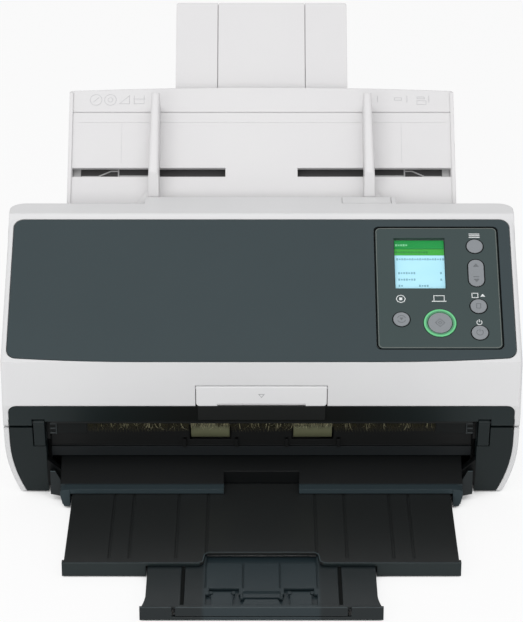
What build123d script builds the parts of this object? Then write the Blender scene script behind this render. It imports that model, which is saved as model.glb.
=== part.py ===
from build123d import *
import math
import os

# A desktop sheet-fed document scanner, in millimetres.
# X runs to the right, the front faces -Y and Z is up. The origin lies on the table, under the
# middle of the whole part. Outlines use depths counted from the middle of the body, front negative.

# Body
body_half_width = 150.0
body_half_depth = 85.0
foot_height = 3.5
side_wall = 3.0
skin = 2.5
sweep_radius = 94.0
sweep_z = 38.0
skirt_z = 0.8
shoulder_round = 7.0
cover_corner = 9.0
edge_round = 2.0
parting_gap = 0.8
seat = 0.1

# Widths, counted inwards from the sides of the body
dark_margin = 3.3
plate_margin = 16.5
cheek_width = 24.2
cap_inset = 0.4
guide_margin = 2.3
guide_step = 2.5
glass_margin = 11.5
glass_border = 3.0
chassis_gap = 0.5
pulley_offset = 4.5
brush_gap = 0.5
brush_bare_end = 22.0
arm_set_in = 13.8
tray_side_gap = 1.5
shoulder_width = 32.0
bezel_margin = 7.2
bezel_width = 73.4
panel_half_width = body_half_width - side_wall
plate_half_width = body_half_width - plate_margin
dark_half_width = body_half_width - dark_margin
chute_half_width = body_half_width - shoulder_width
cheek_inner_x = body_half_width - cheek_width
hinge_cap_inner_x = cheek_inner_x + cap_inset
lower_guide_half_width = cheek_inner_x - guide_margin
upper_guide_half_width = lower_guide_half_width - guide_step
glass_half_width = lower_guide_half_width - glass_margin
scan_unit_half_width = glass_half_width + glass_border
chassis_inner_x = lower_guide_half_width + chassis_gap
pulley_x = chassis_inner_x + pulley_offset
brush_half_width = lower_guide_half_width - brush_gap
bristle_half_width = brush_half_width - brush_bare_end
arm_inner_x = cheek_inner_x - arm_set_in
tray_half_width = arm_inner_x - tray_side_gap
bezel_right_x = panel_half_width - bezel_margin
bezel_left_x = bezel_right_x - bezel_width

# Side view of the flip-up cover
band_top_z = 92.5
band_bottom_z = 64.5
panel_top_y = 0.0
panel_top_z = 146.0
deck_front_y = 3.0
deck_z = 148.5
deck_rear_y = 18.5
hood_rear_y = 28.8
hood_left_x = -70.0
parting_high_z = 139.8
front_lean = 0.246
hinge_z = 51.5
barrel_radius = 2.4
cover_opening = 55.0

# Rear of the base
shoulder_y = 34.0
shoulder_z = 137.0
rear_deck_y = 74.0
rear_deck_z = 117.0
rear_top_z = 104.0
rear_deck_start_y = 48.0

# Paper path: down the chute, round the bend and out at the front
chute_foot_y = 43.0
chute_foot_z = 148.5
path_bend_y = 5.0
path_bend_z = 110.5
path_exit_y = -70.0
path_exit_z = 48.5
guide_skin = 2.5
lower_guide_drop = 0.8
upper_guide_lift = 1.4
mouth_lift = 8.4

# Dark front panel and the operator panel
panel_thickness = 2.0
panel_backing = 2.5
panel_corner = 6.0
panel_side_rise = 2.9
panel_low_margin = 0.1
panel_flat_half = 70.0
panel_gap = 0.4
bezel_top_s = 5.4
bezel_bottom_s = 91.7
bezel_corner = 3.0
bezel_thickness = 3.0
bezel_gap = 0.75
ring_gap = 0.35
bezel_bevel = 0.45
screen_margin = 11.6
screen_width = 30.0
screen_left_x = bezel_left_x + screen_margin
screen_right_x = screen_left_x + screen_width
screen_top_s = 13.6
screen_bottom_s = 49.4
screen_depth = 1.2
screen_glass = 1.0
module_thickness = 3.0
module_border = 3.0
board_thickness = 1.6
board_drop = 7.0
button_travel = 0.5
button_proud = 0.5
button_flange = 1.2
button_flange_height = 1.2
button_clearance = 0.45
small_button_radius = 4.75
scan_button_radius = 6.95
light_ring_radius = 9.4
light_ring_depth = 2.4
rocker_width = 9.0
rocker_length = 18.7
rocker_swing = 2.5
rocker_axis_drop = 1.4
rocker_pin_radius = 1.0
menu_x, menu_s = bezel_right_x - 14.1, 19.7
rocker_x, rocker_s = bezel_right_x - 14.0, 38.7
manual_x, manual_s = bezel_right_x - 13.6, 62.0
power_x, power_s = bezel_right_x - 13.6, 80.3
stop_x, stop_s = bezel_left_x + 14.7, 71.1
scan_x, scan_s = bezel_left_x + 37.0, 73.6

# Flap in the front band, and the release tab in the hood
flap_width = 75.5
flap_top_z = 77.1
flap_thickness = 2.0
flap_gap = 0.4
flap_pin_radius = 0.8
flap_pin_inset = 1.5
flap_edge = 0.8
flap_swing = 18.0
flap_finger_width = 51.0
tab_left_x = 48.6
tab_right_x = 77.7
tab_front_y = 19.2
tab_gap = 0.35
tab_pin_radius = 0.8
tab_pin_inset = 1.3
tab_swing = 12.0

# Dark front of the cover and of the base
dark_corner = 5.0
cheek_wall = 2.5
cheek_depth = 16.5
cheek_low_depth = 25.0
cheek_step_z = 34.0
strip_thickness = 3.0
strip_shelf = 1.9
strip_top_gap = 0.3
lip_height = 8.9
hinge_cap_width = 6.5
hinge_cap_bottom_z = 35.0
hinge_cap_depth = 7.0
cap_gap = 0.6
hinge_pin_radius = 1.3
hinge_pin_length = 17.0
hinge_clearance = 0.05
ear_relief = 0.7

# Discharge brush
brush_y = -77.0
brush_top_z = 53.0
brush_backing_height = 3.0
brush_backing_depth = 1.6
bristle_length = 6.2
bristle_side = 0.32
bristle_pitch = 0.9
bristle_row_gap = 0.7
bristle_lean = 0.28

# Rollers
shaft_radius = 3.0
running_fit = 0.05
tyre_gap = 1.0
nip_gap = 0.4
pick_c = -35.0
pick_radius = 11.0
pick_tyre_width = 18.0
pick_tyre_x = 20.0
feed_s = 14.0
feed_radius = 11.0
feed_tyre_width = 16.0
feed_tyre_x = 13.0
drive_s = 34.0
drive_radius = 7.0
drive_tyre_width = 14.0
drive_tyre_x = 45.0
eject_s = 93.4
eject_radius = 10.0
eject_tyre_width = 22.5
eject_tyre_x = 30.0
idler_radius = 5.0
idler_axle_radius = 1.5
idler_width = 12.0
ear_thickness = 2.0
ear_border = 2.5

# Scan units
scan_from_s = 45.0
scan_to_s = 67.0
glass_thickness = 2.0
scan_unit_depth = 20.0

# Drive
chassis_thickness = 2.0
chassis_front_y = -68.0
chassis_low_front_y = -58.0
chassis_rear_y = 72.0
motor_y = 22.0
motor_z = 47.0
motor_radius = 18.0
motor_length = 34.0
motor_shaft_radius = 2.5
pulley_radius = 7.0
feed_pulley_radius = 10.2
pulley_width = 5.0
belt_thickness = 1.2
belt_width = 4.0

# Chute
chute_angle = 45.0
chute_top_c = 65.0
chute_crown = 2.4
chute_low_c = -22.0
chute_plate_thickness = 2.5
chute_rim_width = 2.2
chute_rim_height = 1.5
chute_corner = 1.5
rack_layer = 3.8
divider = 1.4
channel_depth = 4.8
chute_back_wall = 2.0
chute_seam_c = 50.6
chute_line_c = 43.7
groove = 0.5
slot_low_c = 7.6
slot_high_c = 13.4
slot_inner_x = 22.0
slot_outer_x = 115.3
chute_boss_radius = 3.0
chute_boss_c = -20.0
chute_boss_n = -9.0

# Side guides, their racks and the pinion
guide_inner_x = 62.0
guide_width = 6.7
guide_top_width = 4.9
guide_low_c = -18.5
guide_high_c = 54.5
guide_height = 20.0
guide_setback = 1.4
guide_top_round = 2.0
guide_lift = 0.3
guide_out = 46.5
guide_in = 36.0
foot_flare = 9.5
flare_low_c = -14.5
flare_n = 1.8
flare_height = 3.2
rack_module = 1.5
pinion_teeth = 12
rack_bar = 2.2
rack_thickness = 2.6
tooth_share = 0.34
tooth_tip_share = 0.16
pinion_pin_radius = 2.0

# Chute extensions
extension_half_width = 53.2
extension_thickness = 4.0
extension_gap = 0.35
extension_top_c = 129.6
extension_low_c = 38.0
extension_travel = 60.0
inner_extension_half_width = 27.0
inner_extension_thickness = 2.0
inner_extension_low_c = 44.0
inner_extension_travel = 50.0

# Exit floor and stacker
bar_front_y = -89.0
bar_top_y = -83.0
bar_bottom_z = 9.2
bar_top_z = 12.0
floor_rear_y = -66.5
floor_rear_z = 23.3
bin_wall_thickness = 2.2
bin_wall_top_z = 35.0
shelf_top_z = 29.6
shelf_depth = 1.5
rib_width = 1.6
rib_depth = 3.0
notch_half_width = 22.0
notch_rear_y = -75.9
arm_width = 5.9
arm_front_y = -89.5
arm_bottom_z = 0.6
arm_round = 1.2
arm_end_round = 2.0
bar_end_round = 3.0
gusset_front_y = -80.0
gusset_skin = 2.2
gusset_gap = 1.8
gusset_shelf = 3.1
gusset_top_z = 19.5
gusset_low_z = 4.2
arm_taper = 2.0
rail_rear_y = 50.0
rail_groove_depth = 1.9
rail_groove_low_z = 2.9
rail_groove_high_z = 5.4
roof_thickness = 2.0
slide_gap = 0.3
tray_front_y = -169.5
tray_length = 124.0
tray_top_z = 8.8
tray_bottom_z = 0.5
tray_skin = 1.8
tray_wall = 2.2
tray_lip = 1.1
tray_lip_depth = 3.5
tray_travel = 80.0
tray_notch_half_width = 32.6
tray_notch_depth = 12.0
tray_groove_outer = 25.1
tray_groove_inner = 36.3
tray_groove_middle = 62.5
extension_bay_half_width = 64.5
stack_extension_half_width = 63.6
stack_extension_front_y = -217.0
stack_extension_length = 84.0
stack_extension_travel = 38.0
stack_deck_top_z = 6.7
stack_deck_skin = 1.6
stack_wall = 2.0
front_bar_half_width = 66.3
front_bar_depth = 1.8
front_bar_top_z = 8.2
front_bar_sill_z = 2.4
front_bar_opening = 48.8
end_deck_half_width = 44.0
end_length = 62.0
end_travel = 34.0
end_top_z = 4.8
end_skin = 1.6
stopper_half_width = 46.9
stopper_length = 19.0
stopper_bar_depth = 3.1
stopper_bar_low_z = 2.9
stopper_axis_height = 5.5
stopper_arm_inner_x = 15.6
stopper_arm_outer_x = 27.6
stopper_arm_thickness = 1.6
stopper_pin_radius = 0.7
stopper_barrel_radius = 1.2
hinge_ear_width = 1.7
hinge_ear_depth = 2.6
stopper_knuckle = 0.8
grip_front_half_width = 11.2
grip_rear_half_width = 9.0
grip_rear_y = -206.2
pad_edge_x = 30.8
pad_rear_y = -165.8
pad_front_y = -193.3
well_front_y = -199.8
well_inner_x = 12.4
well_outer_x = 28.9
bay_inner_x = 11.6
tongue_half_width = 10.2
tongue_front_y = -204.6
tongue_ridge = 0.9

# Electronics and small parts
main_board_z = 16.0
main_board_half_width = 62.0
main_board_front_y = 55.0
board_post_radius = 3.0
usb_x, usb_width, usb_height, usb_depth = -34.0, 12.0, 11.0, 16.0
lan_x, lan_width, lan_height, lan_depth = -8.0, 16.0, 13.5, 20.0
jack_x, jack_width, jack_height, jack_depth = 34.0, 10.0, 11.0, 14.0
jack_bore_radius = 2.8
jack_bore_depth = 9.0
port_wall = 1.2
port_gap = 0.4
vent_count = 9
vent_pitch = 9.0
vent_width = 3.0
vent_height = 22.0
vent_low_z = 62.0
foot_radius = 7.0
foot_margin = 0.7
foot_x = plate_half_width - foot_radius - foot_margin
foot_front_y = -50.0
foot_rear_y = 68.0
screw_radius = 3.0

# Values worked out from the sizes above
lean_angle = math.atan(front_lean)
panel_angle = math.degrees(math.atan2(panel_top_z - band_top_z, panel_top_y + body_half_depth))
panel_length = math.hypot(panel_top_z - band_top_z, panel_top_y + body_half_depth)
cover_bottom_z = hinge_z - barrel_radius
parting_z = cover_bottom_z - parting_gap
path_length = math.hypot(path_exit_y - path_bend_y, path_exit_z - path_bend_z)
path_angle = math.atan2(path_bend_z - path_exit_z, path_bend_y - path_exit_y)
chute_slope = math.radians(chute_angle)
rack_low_n = -chute_plate_thickness - rack_layer
channel_top_n = rack_low_n - divider
channel_low_n = channel_top_n - channel_depth
chute_back_n = channel_low_n - chute_back_wall
pinion_radius = rack_module * pinion_teeth / 2
pinion_c = (slot_low_c + slot_high_c) / 2
rack_n = -chute_plate_thickness - (rack_layer - rack_thickness) / 2

# The part's length runs from the stacker's front to the raised extension's upper rear corner.
front_reach = stack_extension_front_y
rear_reach = (chute_foot_y + extension_top_c * math.cos(chute_slope)
              - (channel_top_n - extension_gap - extension_thickness) * math.sin(chute_slope))
y_shift = -(front_reach + rear_reach) / 2


def front_y(z):
    """Depth of the dark front at height z: it leans back going down from the band."""
    return -body_half_depth + (band_bottom_z - z) * front_lean


hinge_y = front_y(hinge_z) + barrel_radius / math.cos(lean_angle)
parting_low_y = hinge_y + barrel_radius


def side(x):
    """Plane across the body at x, whose own axes are depth and height."""
    return Plane(origin=(x, y_shift, 0), x_dir=(0, 1, 0), z_dir=(1, 0, 0))


def facing(y):
    """Plane facing the front at depth y, whose own axes are X and height."""
    return Plane(origin=(0, y_shift + y, 0), x_dir=(1, 0, 0), z_dir=(0, -1, 0))


def level(z):
    """Horizontal plane at height z, whose own axes are X and depth."""
    return Plane(origin=(0, y_shift, z), x_dir=(1, 0, 0), z_dir=(0, 0, 1))


def chute_point(c, n):
    """Depth and height of the point c up the chute and n above its face."""
    return (chute_foot_y + c * math.cos(chute_slope) - n * math.sin(chute_slope),
            chute_foot_z + c * math.sin(chute_slope) + n * math.cos(chute_slope))


def chute_at(n):
    """Plane along the chute, n above its face; its own axes are X and the way up."""
    y, z = chute_point(0, n)
    return Plane(origin=(0, y_shift + y, z), x_dir=(1, 0, 0),
                 z_dir=(0, -math.sin(chute_slope), math.cos(chute_slope)))


def path_point(s, lift):
    """Depth and height of the point s down the paper path from its bend, lift above the paper."""
    return (path_bend_y - s * math.cos(path_angle) - lift * math.sin(path_angle),
            path_bend_z - s * math.sin(path_angle) + lift * math.cos(path_angle))


def bend_point(lift):
    """The paper path's bend, lift above the paper, on the line that halves its angle."""
    middle = (path_angle + chute_slope) / 2
    return (path_bend_y - lift * math.sin(middle), path_bend_z + lift * math.cos(middle))


def panel_at(n):
    """Plane along the sloping front, n above it, from its top edge; its own axes are X and -s."""
    slope = math.radians(panel_angle)
    return Plane(origin=(0, y_shift + panel_top_y - n * math.sin(slope), panel_top_z + n * math.cos(slope)),
                 x_dir=(1, 0, 0), z_dir=(0, -math.sin(slope), math.cos(slope)))


def panel_point(s, n):
    """Depth and height of the point s down the sloping front and n above it."""
    slope = math.radians(panel_angle)
    return (panel_top_y - s * math.cos(slope) - n * math.sin(slope),
            panel_top_z - s * math.sin(slope) + n * math.cos(slope))


def bar(points, x_from, x_to, mode=Mode.ADD):
    """Add or cut a bar with this depth and height outline, from one X to another."""
    with BuildSketch(side(x_from)) as outline:
        with BuildLine():
            Polyline(*points, close=True)
        make_face()
    extrude(outline.sketch, amount=x_to - x_from, mode=mode)


def rod(centre, radius, x_from, x_to, mode=Mode.ADD):
    """Add or cut a round bar along X."""
    with BuildSketch(side(x_from)) as outline:
        with Locations(centre):
            Circle(radius)
    extrude(outline.sketch, amount=x_to - x_from, mode=mode)


def block(x_range, y_range, z_range, mode=Mode.ADD):
    """Add or cut a straight block between three pairs of limits."""
    bar([(y_range[0], z_range[0]), (y_range[1], z_range[0]), (y_range[1], z_range[1]),
         (y_range[0], z_range[1])], x_range[0], x_range[1], mode)


def chute_block(x_range, c_range, n_range, mode=Mode.ADD, corner=0.0):
    """Add or cut a block that lies along the chute."""
    width = x_range[1] - x_range[0]
    length = c_range[1] - c_range[0]
    with BuildSketch(chute_at(n_range[0])) as outline:
        with Locations(((x_range[0] + x_range[1]) / 2, (c_range[0] + c_range[1]) / 2)):
            if corner > 0:
                RectangleRounded(width, length, corner)
            else:
                Rectangle(width, length)
    extrude(outline.sketch, amount=n_range[1] - n_range[0], mode=mode)


def panel_block(x_range, s_range, n_range, mode=Mode.ADD, corner=0.0):
    """Add or cut a block that lies along the sloping front, s counted down from its top edge."""
    width = x_range[1] - x_range[0]
    length = s_range[1] - s_range[0]
    with BuildSketch(panel_at(n_range[0])) as outline:
        with Locations(((x_range[0] + x_range[1]) / 2, -(s_range[0] + s_range[1]) / 2)):
            if corner > 0:
                RectangleRounded(width, length, corner)
            else:
                Rectangle(width, length)
    extrude(outline.sketch, amount=n_range[1] - n_range[0], mode=mode)


def panel_disc(x, s, radius, n_range, mode=Mode.ADD):
    """Add or cut a disc square to the sloping front."""
    with BuildSketch(panel_at(n_range[0])) as outline:
        with Locations((x, -s)):
            Circle(radius)
    extrude(outline.sketch, amount=n_range[1] - n_range[0], mode=mode)


def write(piece, name):
    """Label a finished piece and write it as its own STEP file."""
    piece.part.label = name
    export_step(piece.part, "parts/" + name + ".step")


def inner_slope_z(y):
    """Height of the underside of the cover's sloping wall at depth y."""
    slope = math.radians(panel_angle)
    drop = (panel_thickness + panel_backing) / math.cos(slope)
    return band_top_z + (y + body_half_depth) * math.tan(slope) - drop


def inner_deck_y():
    """Depth at which the sloping wall's underside meets the deck's underside."""
    return (deck_z - skin - inner_slope_z(0.0)) / math.tan(math.radians(panel_angle))


def cover_side_outline():
    """Draw the cover's side view: its barrel at the hinge, the band, the slope and the deck."""
    middle = (1.5 * math.pi + math.pi + lean_angle) / 2
    barrel_front = (hinge_y - barrel_radius * math.cos(lean_angle),
                    hinge_z - barrel_radius * math.sin(lean_angle))
    barrel_middle = (hinge_y + barrel_radius * math.cos(middle),
                     hinge_z + barrel_radius * math.sin(middle))
    ThreePointArc((hinge_y, cover_bottom_z), barrel_middle, barrel_front)
    Polyline(barrel_front, (-body_half_depth, band_bottom_z), (-body_half_depth, band_top_z),
             (panel_top_y, panel_top_z), (deck_front_y, deck_z), (deck_rear_y, deck_z),
             (deck_rear_y, parting_high_z), (parting_low_y, cover_bottom_z), (hinge_y, cover_bottom_z))


def panel_recess(gap, n):
    """Sketch of the dark panel, n above the slope: arched lower edge and round corners."""
    half = panel_half_width - gap
    low_side = -panel_length + panel_side_rise + gap
    low_middle = -panel_length + panel_low_margin + gap
    bow_x = (half + panel_flat_half) / 2
    bow = low_middle + (low_side - low_middle) / 4
    with BuildSketch(panel_at(n)) as outline:
        with BuildLine():
            Polyline((-half, low_side), (-half, -gap), (half, -gap), (half, low_side))
            ThreePointArc((half, low_side), (bow_x, bow), (panel_flat_half, low_middle))
            Line((panel_flat_half, low_middle), (-panel_flat_half, low_middle))
            ThreePointArc((-panel_flat_half, low_middle), (-bow_x, bow), (-half, low_side))
        make_face()
        corners = outline.vertices().filter_by(lambda v: abs(abs(v.X) - half) < 0.01)
        fillet(corners, panel_corner)
    return outline.sketch


def top_shell():
    """White upper cover: side walls, band, sloping front with its recess, deck and hood."""
    with BuildPart() as shell:
        with BuildSketch(side(-body_half_width)) as outline:
            with BuildLine():
                cover_side_outline()
            make_face()
        extrude(outline.sketch, amount=2 * body_half_width)
        corners = shell.edges().filter_by(Axis.Z).group_by(Axis.Y)[-1]
        fillet(corners, cover_corner)
        ends = shell.edges().filter_by(lambda e: abs(abs(e.center().X) - body_half_width) < 0.01)
        fillet(ends.filter_by(lambda e: e.center().Z > band_bottom_z and e.length > 20
                              and e.center().Y - y_shift < panel_top_y), edge_round)
        block((hood_left_x, tab_right_x + side_wall), (deck_rear_y - skin, hood_rear_y),
              (deck_z - skin, deck_z))
        front_inside = -body_half_depth + skin
        bar([(front_inside, hinge_z - 20), (front_inside, inner_slope_z(front_inside)),
             (inner_deck_y(), deck_z - skin), (deck_rear_y - skin, deck_z - skin),
             (deck_rear_y - skin, hinge_z - 20)],
            -panel_half_width, panel_half_width, Mode.SUBTRACT)
        with BuildSketch(facing(-body_half_depth - skin)) as dark_front:
            with Locations((0, band_bottom_z - band_top_z / 2)):
                RectangleRounded(2 * dark_half_width, band_top_z, dark_corner)
        extrude(dark_front.sketch, amount=-4 * skin, mode=Mode.SUBTRACT)
        extrude(panel_recess(0, 0), amount=-panel_thickness, mode=Mode.SUBTRACT)
        panel_block((bezel_left_x + skin, bezel_right_x - skin), (bezel_top_s + skin, bezel_bottom_s - skin),
                    (-panel_thickness - 2 * panel_backing, 1), Mode.SUBTRACT, bezel_corner)
        block((-flap_width / 2 - flap_gap, flap_width / 2 + flap_gap),
              (-body_half_depth - skin, -body_half_depth + 2 * skin),
              (band_bottom_z - skin, flap_top_z + flap_gap), Mode.SUBTRACT)
        block((tab_left_x - tab_gap, tab_right_x + tab_gap), (tab_front_y - tab_gap, hood_rear_y + skin),
              (deck_z - 2 * skin, deck_z + skin), Mode.SUBTRACT)
        for x in (tab_left_x - tab_gap - skin, tab_right_x + tab_gap):
            rod((tab_front_y + tab_pin_inset, deck_z - tab_pin_inset), tab_pin_radius + running_fit,
                x - 1, x + skin + 1, Mode.SUBTRACT)
        for x in (-flap_width / 2 - flap_gap - skin, flap_width / 2 + flap_gap):
            block((x, x + skin), (-body_half_depth + skin, -body_half_depth + 2 * skin),
                  (band_bottom_z, flap_top_z + skin))
            rod((-body_half_depth + flap_pin_inset, flap_top_z - flap_pin_inset),
                flap_pin_radius + running_fit, x - 1, x + skin, Mode.SUBTRACT)
    return shell


def front_panel():
    """Dark plate let into the sloping front, with the operator panel's opening."""
    with BuildPart() as panel:
        extrude(panel_recess(panel_gap, -panel_thickness), amount=panel_thickness)
        panel_block((bezel_left_x - seat, bezel_right_x + seat), (bezel_top_s - seat, bezel_bottom_s + seat),
                    (-panel_thickness - 1, 1), Mode.SUBTRACT, bezel_corner)
    return panel


def round_buttons():
    """The five round buttons: name, place on the panel and radius."""
    return [("menu_button", menu_x, menu_s, small_button_radius),
            ("manual_feed_button", manual_x, manual_s, small_button_radius),
            ("power_button", power_x, power_s, small_button_radius),
            ("stop_button", stop_x, stop_s, small_button_radius),
            ("scan_button", scan_x, scan_s, scan_button_radius)]


def operator_bezel():
    """Dark plate of the operator panel, with the screen's window and the buttons' holes."""
    with BuildPart() as bezel:
        panel_block((bezel_left_x + bezel_gap, bezel_right_x - bezel_gap),
                    (bezel_top_s + bezel_gap, bezel_bottom_s - bezel_gap), (-panel_thickness, 0), Mode.ADD,
                    bezel_corner)
        face = bezel.faces().filter_by(lambda f: f.normal_at().Z > 0.8)[0]
        chamfer(face.edges(), bezel_bevel)
        inner = skin + seat
        panel_block((bezel_left_x + inner, bezel_right_x - inner), (bezel_top_s + inner, bezel_bottom_s - inner),
                    (-bezel_thickness, -panel_thickness), Mode.ADD, bezel_corner)
        panel_block((screen_left_x, screen_right_x), (screen_top_s, screen_bottom_s), (-bezel_thickness - 1, 1),
                    Mode.SUBTRACT)
        for name, x, s, radius in round_buttons():
            if name != "scan_button":
                panel_disc(x, s, radius + button_clearance, (-bezel_thickness - 1, 1), Mode.SUBTRACT)
        panel_disc(scan_x, scan_s, light_ring_radius + ring_gap, (-light_ring_depth, 1), Mode.SUBTRACT)
        panel_disc(scan_x, scan_s, scan_button_radius + button_clearance, (-bezel_thickness - 1, 1),
                   Mode.SUBTRACT)
        with BuildSketch(panel_at(1)) as slot:
            with Locations((rocker_x, -rocker_s)):
                SlotOverall(rocker_length + 2 * button_clearance, rocker_width + 2 * button_clearance,
                            rotation=90)
        extrude(slot.sketch, amount=-bezel_thickness - 2, mode=Mode.SUBTRACT)
    return bezel


def round_button(x, s, radius):
    """Button cap with the flange that keeps it behind the bezel."""
    with BuildPart() as button:
        panel_disc(x, s, radius, (-bezel_thickness - button_flange_height - button_travel, button_proud))
        top = button.faces().sort_by(lambda f: f.center().Z)[-1]
        fillet(top.edges(), 0.6 * button_proud)
        panel_disc(x, s, radius + button_flange,
                   (-bezel_thickness - button_flange_height - button_travel, -bezel_thickness - button_travel / 5))
    return button


def rocker_axis():
    """Depth and height of the rocker's pivot, behind the bezel."""
    return panel_point(rocker_s, -bezel_thickness - rocker_axis_drop)


def scroll_rocker():
    """Stadium-shaped key that tilts up or down about its middle."""
    with BuildPart() as rocker:
        with BuildSketch(panel_at(-bezel_thickness - button_flange_height)) as cap:
            with Locations((rocker_x, -rocker_s)):
                SlotOverall(rocker_length, rocker_width, rotation=90)
        extrude(cap.sketch, amount=bezel_thickness + button_flange_height + button_proud / 2)
        panel_block((rocker_x - rocker_width / 2 - button_flange, rocker_x + rocker_width / 2 + button_flange),
                    (rocker_s - rocker_width / 4, rocker_s + rocker_width / 4),
                    (-bezel_thickness - button_flange_height, -bezel_thickness - button_travel / 2))
        reach = rocker_width / 2 + 2.6
        rod(rocker_axis(), rocker_pin_radius, rocker_x - reach, rocker_x + reach)
    return rocker


def scan_light_ring():
    """Green lit ring round the scan button."""
    with BuildPart() as ring:
        panel_disc(scan_x, scan_s, light_ring_radius, (-light_ring_depth, button_proud / 2))
        panel_disc(scan_x, scan_s, scan_button_radius + button_clearance, (-light_ring_depth - 1, 1),
                   Mode.SUBTRACT)
    return ring


def lcd_window():
    """Clear pane in the bezel's window."""
    with BuildPart() as pane:
        panel_block((screen_left_x + seat, screen_right_x - seat), (screen_top_s + seat, screen_bottom_s - seat),
                    (-screen_depth - screen_glass, -screen_depth))
    return pane


def lcd_module():
    """Display behind the pane: a flat frame that rises into the window."""
    with BuildPart() as module:
        panel_block((screen_left_x - module_border, screen_right_x + module_border),
                    (screen_top_s - module_border, screen_bottom_s + module_border),
                    (-bezel_thickness - module_thickness, -bezel_thickness))
        panel_block((screen_left_x + seat, screen_right_x - seat), (screen_top_s + seat, screen_bottom_s - seat),
                    (-bezel_thickness, -screen_depth - screen_glass))
    return module


def panel_board():
    """Circuit board of the operator panel, with the post that each key presses."""
    inner = 2 * skin
    low = -bezel_thickness - board_drop
    with BuildPart() as board:
        panel_block((bezel_left_x + inner, bezel_right_x - inner), (bezel_top_s + inner, bezel_bottom_s - inner),
                    (low, low + board_thickness))
        switch_top = -bezel_thickness - button_flange_height - 2 * button_travel - 0.1
        for name, x, s, radius in round_buttons():
            panel_disc(x, s, radius / 2, (low + board_thickness, switch_top))
        for offset in (-rocker_length / 4, rocker_length / 4):
            panel_disc(rocker_x, rocker_s + offset, rocker_width / 6, (low + board_thickness, switch_top))
        for sign in (-1, 1):
            x = rocker_x + sign * (rocker_width / 2 + 1.9)
            panel_block((x - 0.6, x + 0.6), (rocker_s - 1.8, rocker_s + 1.8),
                        (low + board_thickness, -bezel_thickness - rocker_axis_drop))
        rod(rocker_axis(), rocker_pin_radius + running_fit, rocker_x - rocker_width, rocker_x + rocker_width,
            Mode.SUBTRACT)
        corner = inner + board_post_radius / 2
        for x in (bezel_left_x + corner, bezel_right_x - corner):
            for s in (bezel_top_s + corner, bezel_bottom_s - corner):
                panel_disc(x, s, board_post_radius / 2.5, (low + board_thickness, -bezel_thickness))
    return board


def front_flap():
    """Small white flap in the band, pivoted near its top edge."""
    half = flap_width / 2
    pin = (-body_half_depth + flap_pin_inset, flap_top_z - flap_pin_inset)
    with BuildPart() as flap:
        block((-half, half), (-body_half_depth, -body_half_depth + flap_thickness), (band_bottom_z, flap_top_z))
        top = flap.edges().filter_by(Axis.X).group_by(Axis.Z)[-1].sort_by(Axis.Y)[0]
        fillet(top, flap_edge)
        lower = flap.edges().filter_by(Axis.Y).group_by(Axis.Z)[0]
        fillet(lower, 2.0)
        block((-flap_finger_width / 2, flap_finger_width / 2), (-body_half_depth - 1, -body_half_depth + 1),
              (band_bottom_z - 1, band_bottom_z + 1.2), Mode.SUBTRACT)
        rod(pin, flap_pin_radius, -half - flap_gap - skin + 0.4, half + flap_gap + skin - 0.4)
    return flap


def release_tab():
    """Tab at the back of the hood that is lifted to let the cover go."""
    pin = (tab_front_y + tab_pin_inset, deck_z - tab_pin_inset)
    with BuildPart() as tab:
        block((tab_left_x, tab_right_x), (tab_front_y, hood_rear_y), (deck_z - skin + 0.3, deck_z))
        rod(pin, tab_pin_radius, tab_left_x - tab_gap - skin + 0.4, tab_right_x + tab_gap + skin - 0.4)
    return tab


def exit_strip():
    """Dark lower front of the cover: side blocks with the hinge bores, the strip and its lip."""
    top = band_bottom_z - strip_top_gap
    slot_x = hinge_cap_inner_x + hinge_cap_width + ear_relief
    with BuildPart() as strip:
        for sign in (-1, 1):
            with BuildSketch(side(sign * slot_x)) as outline:
                with BuildLine():
                    cover_side_outline()
                make_face()
                with BuildLine():
                    Polyline((-body_half_depth - 9, top), (deck_rear_y + 9, top), (deck_rear_y + 9, deck_z + 9),
                             (-body_half_depth - 9, deck_z + 9), close=True)
                make_face(mode=Mode.SUBTRACT)
                with BuildLine():
                    Polyline((parting_low_y, 0), (deck_rear_y + 9, 0), (deck_rear_y + 9, deck_z + 9),
                             (parting_low_y, deck_z + 9), close=True)
                make_face(mode=Mode.SUBTRACT)
            extrude(outline.sketch, amount=sign * (dark_half_width - 2 * seat - slot_x))
            lowest = hinge_z + barrel_radius + ear_relief
            bar([(front_y(lowest), lowest), (front_y(top), top), (parting_low_y, top), (parting_low_y, lowest)],
                sign * cheek_inner_x, sign * slot_x)
            rod((hinge_y, hinge_z), hinge_pin_radius + hinge_clearance, sign * (slot_x - 1),
                sign * (hinge_cap_inner_x + hinge_pin_length + 1), Mode.SUBTRACT)
        with BuildSketch(facing(-body_half_depth - skin)) as dark_front:
            with Locations((0, top - band_top_z / 2)):
                RectangleRounded(2 * (dark_half_width - 2 * seat), band_top_z, dark_corner)
        extrude(dark_front.sketch, amount=-2 * body_half_depth, mode=Mode.INTERSECT)
        front = front_y(top)
        low_front = front_y(brush_top_z)
        shelf_z = brush_top_z + strip_shelf
        shelf_rear = brush_y + brush_backing_depth / 2
        bar([(low_front, brush_top_z), (front, top), (front + strip_thickness, top),
             (front_y(shelf_z) + strip_thickness, shelf_z), (shelf_rear, shelf_z), (shelf_rear, brush_top_z)],
            -cheek_inner_x, cheek_inner_x)
        block((-flap_width / 2 + 1, flap_width / 2 - 1), (front, front + strip_thickness),
              (top - lip_height, top))
        bar([(front + 1, top - 2), (front + 1, top), (parting_low_y + 11, top), (parting_low_y + 11, top - 2)],
            -cheek_inner_x, cheek_inner_x)
    return strip


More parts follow.
